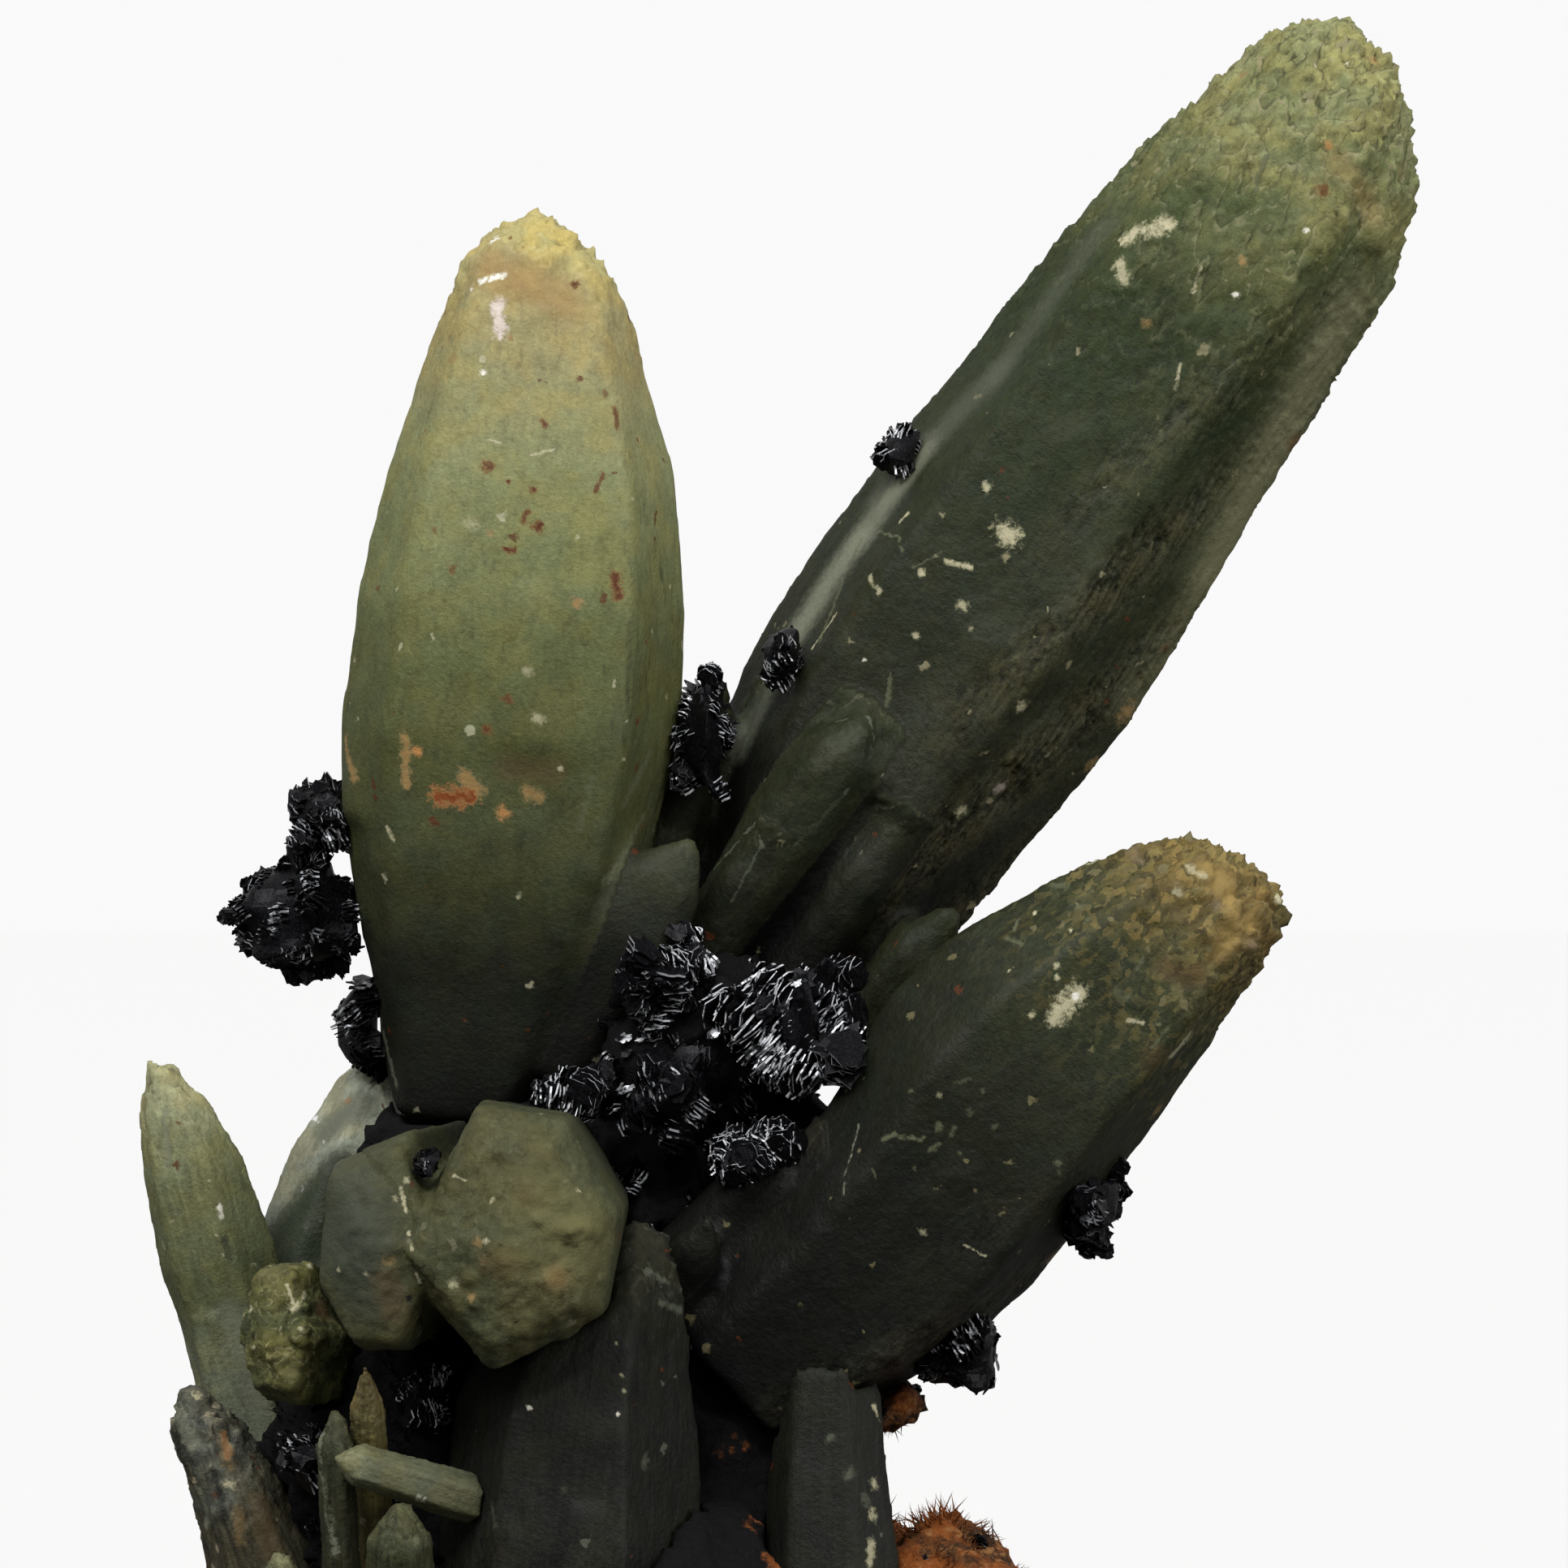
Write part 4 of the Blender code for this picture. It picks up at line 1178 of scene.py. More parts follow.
@dataclass
class Facets:
    """Single plates that lie face outwards among the roses, with a painted glint that makes them shine."""

    SEED = 77
    THICKNESS = 0.15             # millimetres
    FORWARD = 0.4                # how far they stand off what they lie on
    NARROW = 0.5                 # a plate's width to its length
    ALONG = Vector((1.0, 0.0, 0.3))

    name: str
    places: tuple[tuple[float, float, float, float], ...]      # across, up, size, and how bright its painted glint is

    def build(self, stock: PlateStock, material: bpy.types.Material,
              ground: list[bpy.types.Object]) -> bpy.types.Object:
        """Lays the plates on what the viewer sees at their places.

        Args:
            stock: The plates.
            material: The hematite.
            ground: The pieces that they may lie on.

        Returns:
            The finished piece.
        """
        rng = random.Random(self.SEED)
        made = []
        for across, up, size, painted_glint in self.places:
            hits = [piece.ray_cast(*sight(across, up)) for piece in ground]
            place = min((hit[1] for hit in hits if hit[0]), key=lambda spot: spot.y)
            place = Matrix.Translation(place + Vector((0.0, -self.FORWARD * MM, 0.0)))
            towards = Vector((rng.uniform(-0.3, 0.3), -1.0, rng.uniform(0.3, 0.7)))
            scale = Matrix.Diagonal((size * MM, size * self.NARROW * MM, self.THICKNESS * MM, 1.0))
            plate = stock.placed(rng.randrange(stock.SHAPES), place @ facing(towards, self.ALONG) @ scale)
            rims = plate.data.attributes["rim"].data
            rims.foreach_set("value", [painted_glint] * len(rims))
            made.append(plate)
        piece = joined(made, self.name)
        dress(piece, material, Slot.HEMATITE)
        return piece


@dataclass
class MatrixRock:
    """The rock below."""

    node: str = "matrix"
    voxel: float = 0.6           # millimetres
    height: float = 3.4
    smoothing: int = 3

    def build(self, effects: Effects, material: bpy.types.Material) -> bpy.types.Object:
        """Roughens the rock and dresses it.

        Args:
            effects: The shared node groups.
            material: The rock's finish.

        Returns:
            The finished piece.
        """
        piece = copy_of_node(self.node, "matrix_rough")
        remesh(piece, self.voxel, self.smoothing)
        apply_relief(piece, effects.rock, {"Height": self.height})
        dress(piece, material, Slot.ROCK, self.node)
        return piece


@dataclass
class PlateCrust:
    """Small books of plates that stand all over a part of the rock."""

    SPACING = 0.32               # from plate to plate, in millimetres
    SUNK = 0.5                   # how deep a book's foot lies
    LOOSE = 0.5                  # how far a book strays from the rock's normal

    name: str
    zone: Zone
    count: int
    radius: tuple[float, float] = (1.1, 2.2)
    # how bright the painted glint on its plates' rims is
    glint: float = 0.4
    seed: int = 1
    in_front: bool = False

    def build(self, stock: PlateStock, material: bpy.types.Material, ground: Surface) -> bpy.types.Object:
        """Stands the books on the rock and dresses them.

        Args:
            stock: The plates.
            material: The hematite.
            ground: The rock's faces.

        Returns:
            The finished piece.
        """
        rng = random.Random(self.seed)
        made = []
        for place, normal in ground.scatter(self.zone, self.count, self.seed, self.in_front):
            out = (normal + jitter(rng, self.LOOSE)).normalized()
            side = out.cross(jitter(rng, 1.0)).normalized()
            radius = rng.uniform(*self.radius)
            made += stock.book(rng, place - normal * self.SUNK, out, side, radius, self.SPACING)
        piece = joined(made, self.name, self.glint)
        dress(piece, material, Slot.HEMATITE)
        return piece


@dataclass
class Bristles:
    """Tufts of fine needles that stand on a part of the rock."""

    NEEDLES = 16                 # in a tuft
    THICKNESS = (0.035, 0.06)    # a needle's radius, as a share of the tuft's height
    SUNK = 0.3                   # how deep a tuft's foot lies, in millimetres
    HEIGHTS = (0.5, 1.15)        # how the height of the tufts varies
    LOOSE = 0.4                  # how far a tuft strays from the rock's normal
    ALONG = Vector((0.3, 0.5, 0.8))
    LEAN = 0.9                   # how far a needle leans at most, in radians
    SPREAD = 0.35                # how far its foot is from the middle of the tuft

    name: str
    zone: Zone
    count: int
    length: float = 2.4
    seed: int = 1

    def build(self, material: bpy.types.Material, ground: Surface) -> bpy.types.Object:
        """Models one tuft, stands copies of it on the rock and dresses them.

        Args:
            material: The needles' finish.
            ground: The rock's faces.

        Returns:
            The finished piece.
        """
        rng = random.Random(self.seed)
        tuft = self.make_tuft(rng)
        made = []
        for place, normal in ground.scatter(self.zone, self.count, self.seed):
            size = self.length * rng.uniform(*self.HEIGHTS) * MM
            turn = facing(normal + jitter(rng, self.LOOSE), self.ALONG)
            spin = Matrix.Rotation(rng.uniform(0, ALL_ROUND), 4, "Z")
            foot = Matrix.Translation((place - normal * self.SUNK) * MM)
            copy = copied(tuft)
            copy.data.transform(foot @ turn @ spin @ Matrix.Scale(size, 4))
            made.append(copy)
        bpy.data.objects.remove(tuft)
        piece = joined(made, self.name)
        dress(piece, material, Slot.ROCK)
        return piece

    def make_tuft(self, rng: random.Random) -> bpy.types.Object:
        """Models a tuft one unit high.

        Args:
            rng: The seeded randomness.

        Returns:
            The tuft.
        """
        made = []
        for _ in range(self.NEEDLES):
            bpy.ops.object.select_all(action="DESELECT")
            bpy.ops.mesh.primitive_cone_add(vertices=4, radius1=rng.uniform(*self.THICKNESS), depth=1.0,
                                            end_fill_type="NOTHING", location=(0.0, 0.0, 0.5))
            needle = bpy.context.active_object
            bpy.ops.object.transform_apply(location=True)
            angle = rng.uniform(0.0, self.LEAN)
            lean = Matrix.Rotation(angle, 4, Vector((rng.uniform(-1, 1), rng.uniform(-1, 1), 0.01)))
            foot = [rng.uniform(-self.SPREAD, self.SPREAD) for _ in range(2)]
            size = Matrix.Scale(rng.uniform(0.5, 1.0), 4)
            needle.data.transform(Matrix.Translation((*foot, 0.0)) @ lean @ size)
            made.append(needle)
        return joined(made, "tuft")


# Studio


@dataclass
class Studio:
    """The camera, the light and the floor."""

    lens: float = 200.0
    white: float = 0.95
    above: float = 0.55         # light from the sky half and from the floor half of the surroundings
    below: float = 0.10
    key: float = 1.9
    fill: float = 1.5
    glint: float = 0.5
    horizon: tuple[float, float] = (-0.25, 0.6)     # where the floor half passes into the sky half
    floor_radius: float = 4.0   # metres

    def build(self) -> None:
        """Adds the camera, the surroundings, a soft key, a fill and a small hard light, and the floor."""
        self.add_camera()
        self.add_world()
        self.add_sun("key_light", (0.30, 0.62, -0.73), self.key, 30.0)
        self.add_sun("fill_light", (-0.86, 0.50, -0.05), self.fill, 50.0)
        self.add_sun("glint_light", (-0.15, 0.80, -0.60), self.glint, 4.0)
        self.add_floor()

    def add_camera(self) -> None:
        """Places the camera level with the middle of the frame, in front."""
        bpy.ops.object.select_all(action="DESELECT")
        bpy.ops.object.camera_add(location=Vector(EYE) * MM, rotation=(math.pi / 2, 0.0, 0.0))
        camera = bpy.context.active_object
        camera.data.lens = self.lens
        camera.data.sensor_width = 36.0
        bpy.context.scene.camera = camera

    def add_world(self) -> None:
        """Surrounds the scene with an even white that the camera sees brighter than the object does."""
        world = bpy.data.worlds.new("studio_white")
        world.use_nodes = True
        graph = Graph(world.node_tree)
        seen = graph.out("ShaderNodeLightPath", output="Is Camera Ray")
        upward = graph.part(graph.out("ShaderNodeTexCoord", output="Generated"), "Z")
        lit = graph.step(upward, *self.horizon) * (self.above - self.below) + self.below
        graph.fill(graph.tree.nodes["Background"], {"Color": (1.0, 1.0, 1.0, 1.0),
                                                    "Strength": seen * self.white + (1.0 - seen) * lit})
        bpy.context.scene.world = world
        bpy.context.scene.view_settings.view_transform = "Standard"

    def add_sun(self, name: str, towards: Triple, energy: float, angle: float) -> None:
        """Adds a distant light.

        Args:
            name: Its name.
            towards: Which way it shines.
            energy: How strong it is.
            angle: How wide it is, in degrees.
        """
        turn = Vector(towards).to_track_quat("-Z", "Y").to_euler()
        bpy.ops.object.light_add(type="SUN", rotation=turn)
        sun = bpy.context.active_object
        sun.name = name
        sun.data.energy = energy
        sun.data.angle = math.radians(angle)

    def add_floor(self) -> None:
        """Lays a wide pale floor."""
        bpy.ops.object.select_all(action="DESELECT")
        bpy.ops.mesh.primitive_circle_add(vertices=96, radius=self.floor_radius, fill_type="NGON")
        floor = bpy.context.active_object
        floor.name = "pale_floor"
        pale = Paint("pale_floor").finished({"Base Color": (0.872, 0.872, 0.868, 1.0), "Roughness": 0.9})
        floor.data.materials.append(pale)
        floor.visible_diffuse = floor.visible_glossy = False


# Each ramp darkens towards the root, partly as darker stone and partly as painted shade.
PALE_QUARTZ = QuartzFinish(
    "upright_quartz",
    ramp=((0, (0.46, 0.385, 0.185)), (9, (0.36, 0.31, 0.15)), (18, (0.255, 0.26, 0.123)),
          (26, (0.19, 0.205, 0.09)), (36, (0.105, 0.115, 0.042)), (48, (0.062, 0.070, 0.030)),
          (58, (0.014, 0.016, 0.009)), (68, (0.006, 0.007, 0.005))),
    crust=(0.53, 0.45, 0.185), pale=(0.50, 0.48, 0.32), fleck_share=0.03, rust_share=0.035, rim_share=0.22,
    contrast=1.5)
DARK_QUARTZ = QuartzFinish(
    "leaning_quartz",
    ramp=((0, (0.27, 0.272, 0.130)), (8, (0.150, 0.166, 0.070)), (16, (0.070, 0.090, 0.033)),
          (28, (0.030, 0.043, 0.016)), (50, (0.021, 0.027, 0.012)), (62, (0.023, 0.026, 0.014)),
          (74, (0.006, 0.007, 0.0045)), (84, (0.002, 0.0025, 0.002))),
    crust=(0.275, 0.275, 0.135), pale=(0.31, 0.28, 0.16), groove_tint=(0.11, 0.10, 0.060), fleck_share=0.07,
    rim_share=0.9, contrast=2.3, granular=0.35, gloss=0.2, slot=Slot.DARK)
GOLDEN_QUARTZ = QuartzFinish(
    "right_quartz",
    ramp=((0, (0.17, 0.13, 0.045)), (6, (0.082, 0.074, 0.028)), (12, (0.033, 0.040, 0.017)),
          (22, (0.0165, 0.0195, 0.0092)), (36, (0.0085, 0.0095, 0.0065)), (56, (0.004, 0.0045, 0.004))),
    crust=(0.19, 0.135, 0.050), pale=(0.19, 0.165, 0.080), fleck_share=0.07, rim_share=0.5, contrast=2.3,
    granular=0.7, gloss=0.23, slot=Slot.DARK)
TWIN_QUARTZ = QuartzFinish(
    "front_quartz",
    ramp=((0, (0.070, 0.074, 0.036)), (6, (0.058, 0.062, 0.031)), (20, (0.032, 0.036, 0.022)),
          (30, (0.018, 0.02, 0.014))),
    crust=(0.082, 0.080, 0.036), pale=(0.19, 0.18, 0.11), fleck_share=0.08, rust_share=0.03, rim_share=0.2,
    contrast=1.9)
SLATE_QUARTZ = QuartzFinish(
    "slate_quartz",
    ramp=((0, (0.014, 0.015, 0.010)), (8, (0.012, 0.013, 0.010)), (30, (0.0115, 0.0125, 0.0110)),
          (40, (0.009, 0.0095, 0.009))),
    crust=(0.026, 0.026, 0.016), pale=(0.13, 0.13, 0.10), fleck_share=0.03, striation=0.5, rim_share=0.3,
    gloss=0.16, slot=Slot.SLATE)
BLADE_QUARTZ = QuartzFinish(
    "blade_quartz",
    ramp=((0, (0.34, 0.34, 0.20)), (7, (0.18, 0.19, 0.10)), (18, (0.105, 0.118, 0.060)),
          (26, (0.185, 0.200, 0.140)), (44, (0.175, 0.185, 0.140))),
    crust=(0.36, 0.34, 0.20), pale=(0.34, 0.34, 0.22), fleck_share=0.09, striation=0.35, contrast=2.1)
GREY_QUARTZ = QuartzFinish(
    "grey_quartz",
    ramp=((0, (0.14, 0.147, 0.080)), (10, (0.075, 0.080, 0.045)), (26, (0.038, 0.041, 0.024))),
    crust=(0.19, 0.18, 0.10), pale=(0.36, 0.35, 0.24), fleck_share=0.12, striation=1.0, rim_share=0.5)
KNOBBLY_QUARTZ = QuartzFinish(
    "knobbly_quartz",
    ramp=((0, (0.062, 0.068, 0.026)), (10, (0.040, 0.045, 0.020)), (26, (0.024, 0.026, 0.014))),
    crust=(0.105, 0.105, 0.040), pale=(0.42, 0.38, 0.22), fleck_share=0.10, rim_share=0.35, contrast=2.6,
    granular=0.6)
TAN_QUARTZ = QuartzFinish(
    "tan_quartz",
    ramp=((0, (0.20, 0.165, 0.070)), (6, (0.145, 0.128, 0.050)), (24, (0.06, 0.050, 0.024))),
    crust=(0.20, 0.15, 0.07), pale=(0.36, 0.30, 0.19), fleck_share=0.12, rust_share=0.06, striation=1.0,
    rim_share=0.5, contrast=2.2, slot=Slot.TAN)
STUB_QUARTZ = QuartzFinish(
    "stub_quartz",
    ramp=((0, (0.13, 0.13, 0.105)), (4, (0.115, 0.117, 0.098)), (11, (0.052, 0.048, 0.032)),
          (24, (0.060, 0.050, 0.030))),
    crust=(0.060, 0.060, 0.048), pale=(0.36, 0.31, 0.20), fleck_share=0.14, rust_share=0.12, striation=1.0,
    rim_share=0.5, contrast=3.2, slot=Slot.TAN)
COLUMN_QUARTZ = GREY_QUARTZ.toned("column_quartz", (0.40, 0.40, 0.40))
BLOCK_QUARTZ = GREY_QUARTZ.toned("block_quartz", (0.42, 0.43, 0.38))
BAR_QUARTZ = replace(GREY_QUARTZ.toned("bar_quartz", (1.7, 1.67, 1.85)), striation=0.4)
CLEAR_QUARTZ = replace(GREY_QUARTZ.toned("clear_quartz", (3.0, 2.95, 4.3)), striation=0.2)

UPRIGHT_SPOTS = (
    *marks(Mark.OCHRE, (-9.6, 118.8, 2.12, 0.5, -4.2, 116.5), (-8.2, 113.5, 0.25, 0.7),
           (-12.7, 111.9, 0.5, 0.35), (-9.7, 98.4, 0.31, 0.5), (-3.1, 93.1, 0.44, 0.7),
           (-16.3, 82.7, 0.38, 0.75, -16.2, 79.2), (-11.8, 79.7, 0.62, 0.7, -10.8, 78.6),
           (-6.9, 78.5, 0.5, 0.55, -6.0, 78.1), (-20.9, 82.4, 0.38, 0.7, -20.2, 79.6)),
    *marks(Mark.BROWN, (-8.4, 80.4, 1.12, 0.35, -5.0, 80.1)),
    *marks(Mark.CHIP, (-9.4, 121.0, 0.44), (-10.4, 117.8, 0.25, 0.95, -8.6, 118.4), (-11.2, 117.3, 0.19, 0.7),
           (-10.3, 110.8, 0.25, 0.8)),
    *marks(Mark.BLUSH, (-9.2, 116.0, 0.56, 0.9, -9.0, 114.0)),
    *marks(Mark.RUST, (-8.2, 121.2, 0.19, 0.9), (-3.2, 117.6, 0.31, 0.8), (-2.8, 110.3, 0.25, 0.8),
           (-0.9, 109.1, 0.25, 0.5), (-0.2, 108.1, 0.25, 0.7, 0.1, 106.7), (-5.6, 106.9, 0.31, 0.95),
           (-14.8, 106.3, 0.19, 0.6), (1.6, 105.6, 0.19, 0.9), (-9.9, 103.7, 0.44, 0.9),
           (-8.4, 102.4, 0.21, 0.95), (-6.4, 101.7, 0.28, 0.9), (-1.1, 103.0, 0.21, 0.7, -1.6, 101.8),
           (-6.9, 100.1, 0.25, 0.8, -7.2, 99.3), (-6.1, 98.9, 0.41), (-8.6, 97.2, 0.23, 1.0, -7.9, 97.1),
           (-14.1, 98.6, 0.25, 0.5), (-12.7, 95.7, 0.38, 0.6), (-18.4, 94.2, 0.31, 0.5),
           (-0.1, 95.0, 0.38, 1.0, 0.1, 93.6), (-8.4, 85.7, 0.38, 0.7), (-10.0, 83.4, 0.38, 0.8)),
    *marks(Mark.EMBER, (-13.7, 78.2, 0.69, 1.0, -11.4, 78.1)),
    *marks(Mark.ORANGE, (-15.4, 81.6, 0.38, 0.9), (-8.8, 76.9, 0.5, 0.7)),
    *marks(Mark.CREAM, (-9.9, 105.6, 0.1, 0.6, -9.0, 105.4), (-6.7, 104.4, 0.1, 0.6, -4.9, 104.9),
           (-3.0, 98.1, 0.19, 0.7), (-11.2, 99.1, 0.56, 0.25), (-17.7, 75.8, 0.16, 0.5, -17.2, 74.8),
           (-4.4, 80.3, 0.19, 0.6), (-6.9, 87.9, 0.44, 0.3), (-6.0, 84.2, 0.5, 0.35),
           (-16.9, 94.2, 0.16, 0.8), (3.8, 85.9, 0.25, 0.4)),
    *marks(Mark.PEARL, (-19.2, 64.6, 0.4, 0.45, -18.2, 60.4), (-18.0, 60.0, 0.35, 0.35, -17.0, 56.0)),
    *marks(Mark.MOSS, (2.5, 81.4, 0.56, 0.5, 0.6, 77.6), (1.9, 76.4, 0.5, 0.55, -0.9, 71.7),
           (-1.9, 79.5, 0.31, 0.3, -2.8, 75.8)))
LEANING_SPOTS = (
    *marks(Mark.OLIVE, (56.4, 115.8, 3.4, 0.6, 46.0, 95.6), (46.0, 95.6, 2.6, 0.25, 40.6, 85.6)),
    # The wide ASH and PEARL bands along the left facet are a painted sheen, where that facet faces the light.
    *marks(Mark.ASH, (37.4, 121.8, 1.7, 0.28, 29.4, 110.8), (29.4, 110.8, 1.9, 0.35, 20.3, 101.2),
           (14.3, 91.3, 1.3, 0.6, 9.2, 82.1)),
    *marks(Mark.PEARL, (23.6, 104.6, 1.8, 0.65, 18.9, 98.2), (18.9, 98.2, 1.9, 0.8, 13.4, 90.3)),
    *marks(Mark.ASH, (16.9, 83.9, 0.14, 0.8, 19.3, 84.3), (19.3, 84.3, 0.16, 0.8, 19.8, 82.6),
           (19.8, 82.6, 0.14, 0.6, 17.5, 78.3), (17.5, 78.3, 0.2, 0.2, 13.8, 74.5),
           (7.5, 72.6, 0.12, 0.6, 10.6, 76.1), (10.6, 76.1, 0.14, 0.7, 11.2, 74.4),
           (11.2, 74.4, 0.12, 0.4, 8.8, 70.1), (18.4, 83.0, 0.7, 0.2, 15.6, 80.6)),
    *marks(Mark.OCHRE, (58.1, 134.7, 0.88, 0.5), (60.4, 126.2, 0.7, 0.2), (48.2, 119.4, 0.38, 0.7),
           (40.8, 114.6, 0.38, 0.4), (48.4, 133.7, 0.62, 0.4), (55.6, 127.0, 1.25, 0.2, 58.1, 123.1),
           (39.2, 84.7, 0.88, 0.5), (36.6, 80.7, 0.62, 0.4)),
    *marks(Mark.RUST, (54.4, 124.9, 0.56, 0.7), (52.2, 105.4, 1.0, 0.35)),
    *marks(Mark.CREAM, (39.2, 121.1, 0.62, 0.95, 42.4, 122.2), (38.7, 119.2, 0.5, 0.6, 39.1, 118.1),
           (29.9, 98.6, 0.75, 0.75, 30.3, 98.1), (28.5, 102.0, 0.38, 0.7), (26.7, 92.9, 0.44, 0.6),
           (21.8, 99.3, 0.16, 0.95, 22.5, 100.0), (25.4, 96.3, 0.21, 0.7, 27.3, 95.8),
           (23.5, 95.4, 0.31, 0.7), (19.5, 95.1, 0.25, 0.6, 20.2, 93.9), (23.1, 90.6, 0.31, 0.6),
           (31.2, 85.1, 0.44, 0.6), (26.5, 77.0, 0.5, 0.6), (27.2, 91.1, 0.19, 0.4),
           (16.9, 92.3, 0.12, 0.7, 15.0, 89.5), (43.4, 111.4, 0.16, 0.5, 43.0, 109.5),
           (45.0, 118.9, 0.14, 0.5, 44.4, 117.0)),
    *marks(Mark.CHIP, (53.8, 134.4, 0.19, 0.9), (56.1, 134.6, 0.19, 0.9), (53.1, 121.7, 0.25, 0.8),
           (47.7, 116.8, 0.28, 0.8), (19.1, 88.7, 0.14, 0.8)),
    *marks(Mark.ORANGE, (54.8, 128.3, 0.31, 0.7)),
    *marks(Mark.BLUSH, (29.5, 78.9, 0.56, 0.25)),
    *marks(Mark.MOSS, (20.1, 98.6, 0.12, 0.7, 21.8, 98.1), (21.8, 98.1, 0.12, 0.7, 21.9, 97.1),
           (25.0, 97.0, 0.1, 0.4, 22.8, 95.8), (21.1, 87.6, 0.15, 0.45, 20.8, 85.1),
           (18.8, 97.9, 0.19, 0.5, 15.6, 90.1), (50.0, 127.6, 0.19, 0.5, 49.1, 124.5),
           (52.5, 127.0, 0.15, 0.5, 51.6, 123.9)))
RIGHT_SPOTS = (
    *marks(Mark.TAN, (36.9, 47.0, 0.81, 0.55, 33.8, 42.9), (33.8, 42.9, 0.75, 0.5, 31.4, 38.2),
           (38.9, 74.3, 0.5, 0.3, 40.3, 73.2), (46.3, 69.8, 0.5, 0.5), (49.2, 66.8, 0.6, 0.6, 48.2, 67.2)),
    *marks(Mark.GOLD, (45.4, 72.8, 1.1, 0.6, 47.2, 70.6), (47.2, 70.6, 0.8, 0.85, 47.4, 68.6),
           (48.6, 68.2, 1.3, 0.55, 46.6, 66.6), (44.7, 64.6, 0.6, 0.4)),
    *marks(Mark.BROWN, (35.6, 44.5, 0.5, 0.6), (42.2, 65.0, 1.0, 0.45, 44.6, 64.4), (41.4, 58.0, 1.2, 0.3),
           (43.2, 69.2, 0.8, 0.35)),
    *marks(Mark.RUST, (44.8, 57.4, 0.7, 0.5, 44.2, 55.6)),
    *marks(Mark.OCHRE, (44.9, 57.8, 0.4, 0.6), (41.6, 54.0, 0.7, 0.3)),
    *marks(Mark.CREAM, (33.9, 61.25, 0.72, 0.75, 35.5, 63.0), (23.6, 44.6, 0.31, 0.4),
           (26.8, 43.6, 0.11, 0.5, 28.4, 42.8), (24.9, 55.1, 0.21, 0.35), (32.2, 69.2, 0.16, 0.9),
           (35.0, 67.9, 0.18, 0.9), (33.9, 65.1, 0.25, 0.6), (33.9, 64.2, 0.22, 0.7), (31.9, 61.3, 0.28, 0.7),
           (30.2, 64.7, 0.16, 0.5), (35.3, 72.7, 0.16, 0.7, 36.4, 73.3), (44.0, 72.7, 0.35, 0.4, 45.2, 72.0),
           (43.2, 70.9, 0.4, 0.4), (51.0, 70.2, 0.35, 0.9), (39.4, 60.9, 0.2, 0.5, 40.4, 60.7),
           (42.9, 58.4, 0.45, 0.45, 43.9, 59.6)),
    *marks(Mark.CHIP, (35.3, 62.8, 0.32, 0.9)),
    *marks(Mark.PEARL, (18.6, 52.8, 0.12, 0.7, 17.4, 47.6)),
    *marks(Mark.MOSS, (20.4, 51.7, 0.19, 0.6, 21.3, 52.1), (21.3, 52.1, 0.19, 0.6, 23.4, 51.7),
           (24.8, 52.8, 0.38, 0.6), (31.0, 43.1, 0.25, 0.5), (22.5, 55.4, 0.16, 0.4, 27.2, 56.4),
           (19.7, 49.5, 0.12, 0.4, 20.0, 48.8), (29.1, 52.8, 0.25, 0.35), (34.0, 50.0, 0.25, 0.45),
           (34.1, 49.2, 0.19, 0.4), (33.5, 71.4, 0.35, 0.5, 34.6, 71.2), (35.6, 69.7, 0.3, 0.4),
           (30.0, 67.3, 0.22, 0.5, 31.2, 66.8), (30.6, 67.9, 0.12, 0.6, 31.0, 68.8),
           (38.4, 63.1, 0.4, 0.35, 39.3, 62.7), (41.3, 58.9, 0.2, 0.5, 42.4, 60.3), (45.6, 66.4, 0.3, 0.3),
           (40.1, 64.9, 0.2, 0.4, 40.5, 65.8), (36.2, 68.6, 0.25, 0.4), (22.9, 49.6, 0.2, 0.45),
           (24.2, 50.9, 0.2, 0.5, 24.8, 51.4), (25.6, 52.0, 0.18, 0.5, 26.0, 52.6), (27.2, 53.8, 0.28, 0.4),
           (23.6, 51.9, 0.14, 0.55), (28.2, 55.4, 0.2, 0.35), (26.4, 50.6, 0.16, 0.4)))
TWIN_SPOTS = (
    *marks(Mark.SAGE, (-20.4, 51.6, 3.6, 0.85, -21.0, 44.4), (-20.0, 43.0, 2.4, 0.6, -19.4, 39.6)),
    *marks(Mark.LIME, (-5.2, 46.6, 3.0, 0.5, -1.6, 43.2), (-8.0, 43.0, 1.8, 0.35)),
    *marks(Mark.BROWN, (-8.7, 42.2, 1.4, 0.3), (-10.1, 42.4, 0.6, 0.4), (-17.7, 40.9, 1.2, 0.35, -17.0, 38.4),
           (-7.0, 47.6, 1.0, 0.25)),
    *marks(Mark.OCHRE, (-4.6, 41.0, 1.1, 0.25), (-17.6, 42.4, 0.5, 0.3), (-10.7, 43.8, 0.4, 0.5),
           (-11.2, 39.6, 0.4, 0.5)),
    *marks(Mark.BLACK, (-16.0, 39.6, 0.22, 0.9, -15.0, 37.5)),
    *marks(Mark.CREAM, (-16.6, 47.9, 0.16, 0.7, -16.2, 46.2), (-16.0, 44.6, 0.14, 0.7, -15.8, 43.2),
           (-15.4, 41.4, 0.14, 0.7, -15.1, 40.7), (-12.6, 49.0, 0.12, 0.5, -11.6, 48.6),
           (-17.1, 47.2, 0.2, 0.8), (-16.2, 48.6, 0.25, 0.5), (-9.6, 47.0, 0.22, 0.6),
           (-2.9, 47.8, 0.25, 0.5), (-21.4, 41.7, 0.2, 0.5), (-19.3, 41.4, 0.2, 0.4),
           (-12.6, 40.6, 0.4, 0.45), (-10.1, 43.9, 0.25, 0.5)))
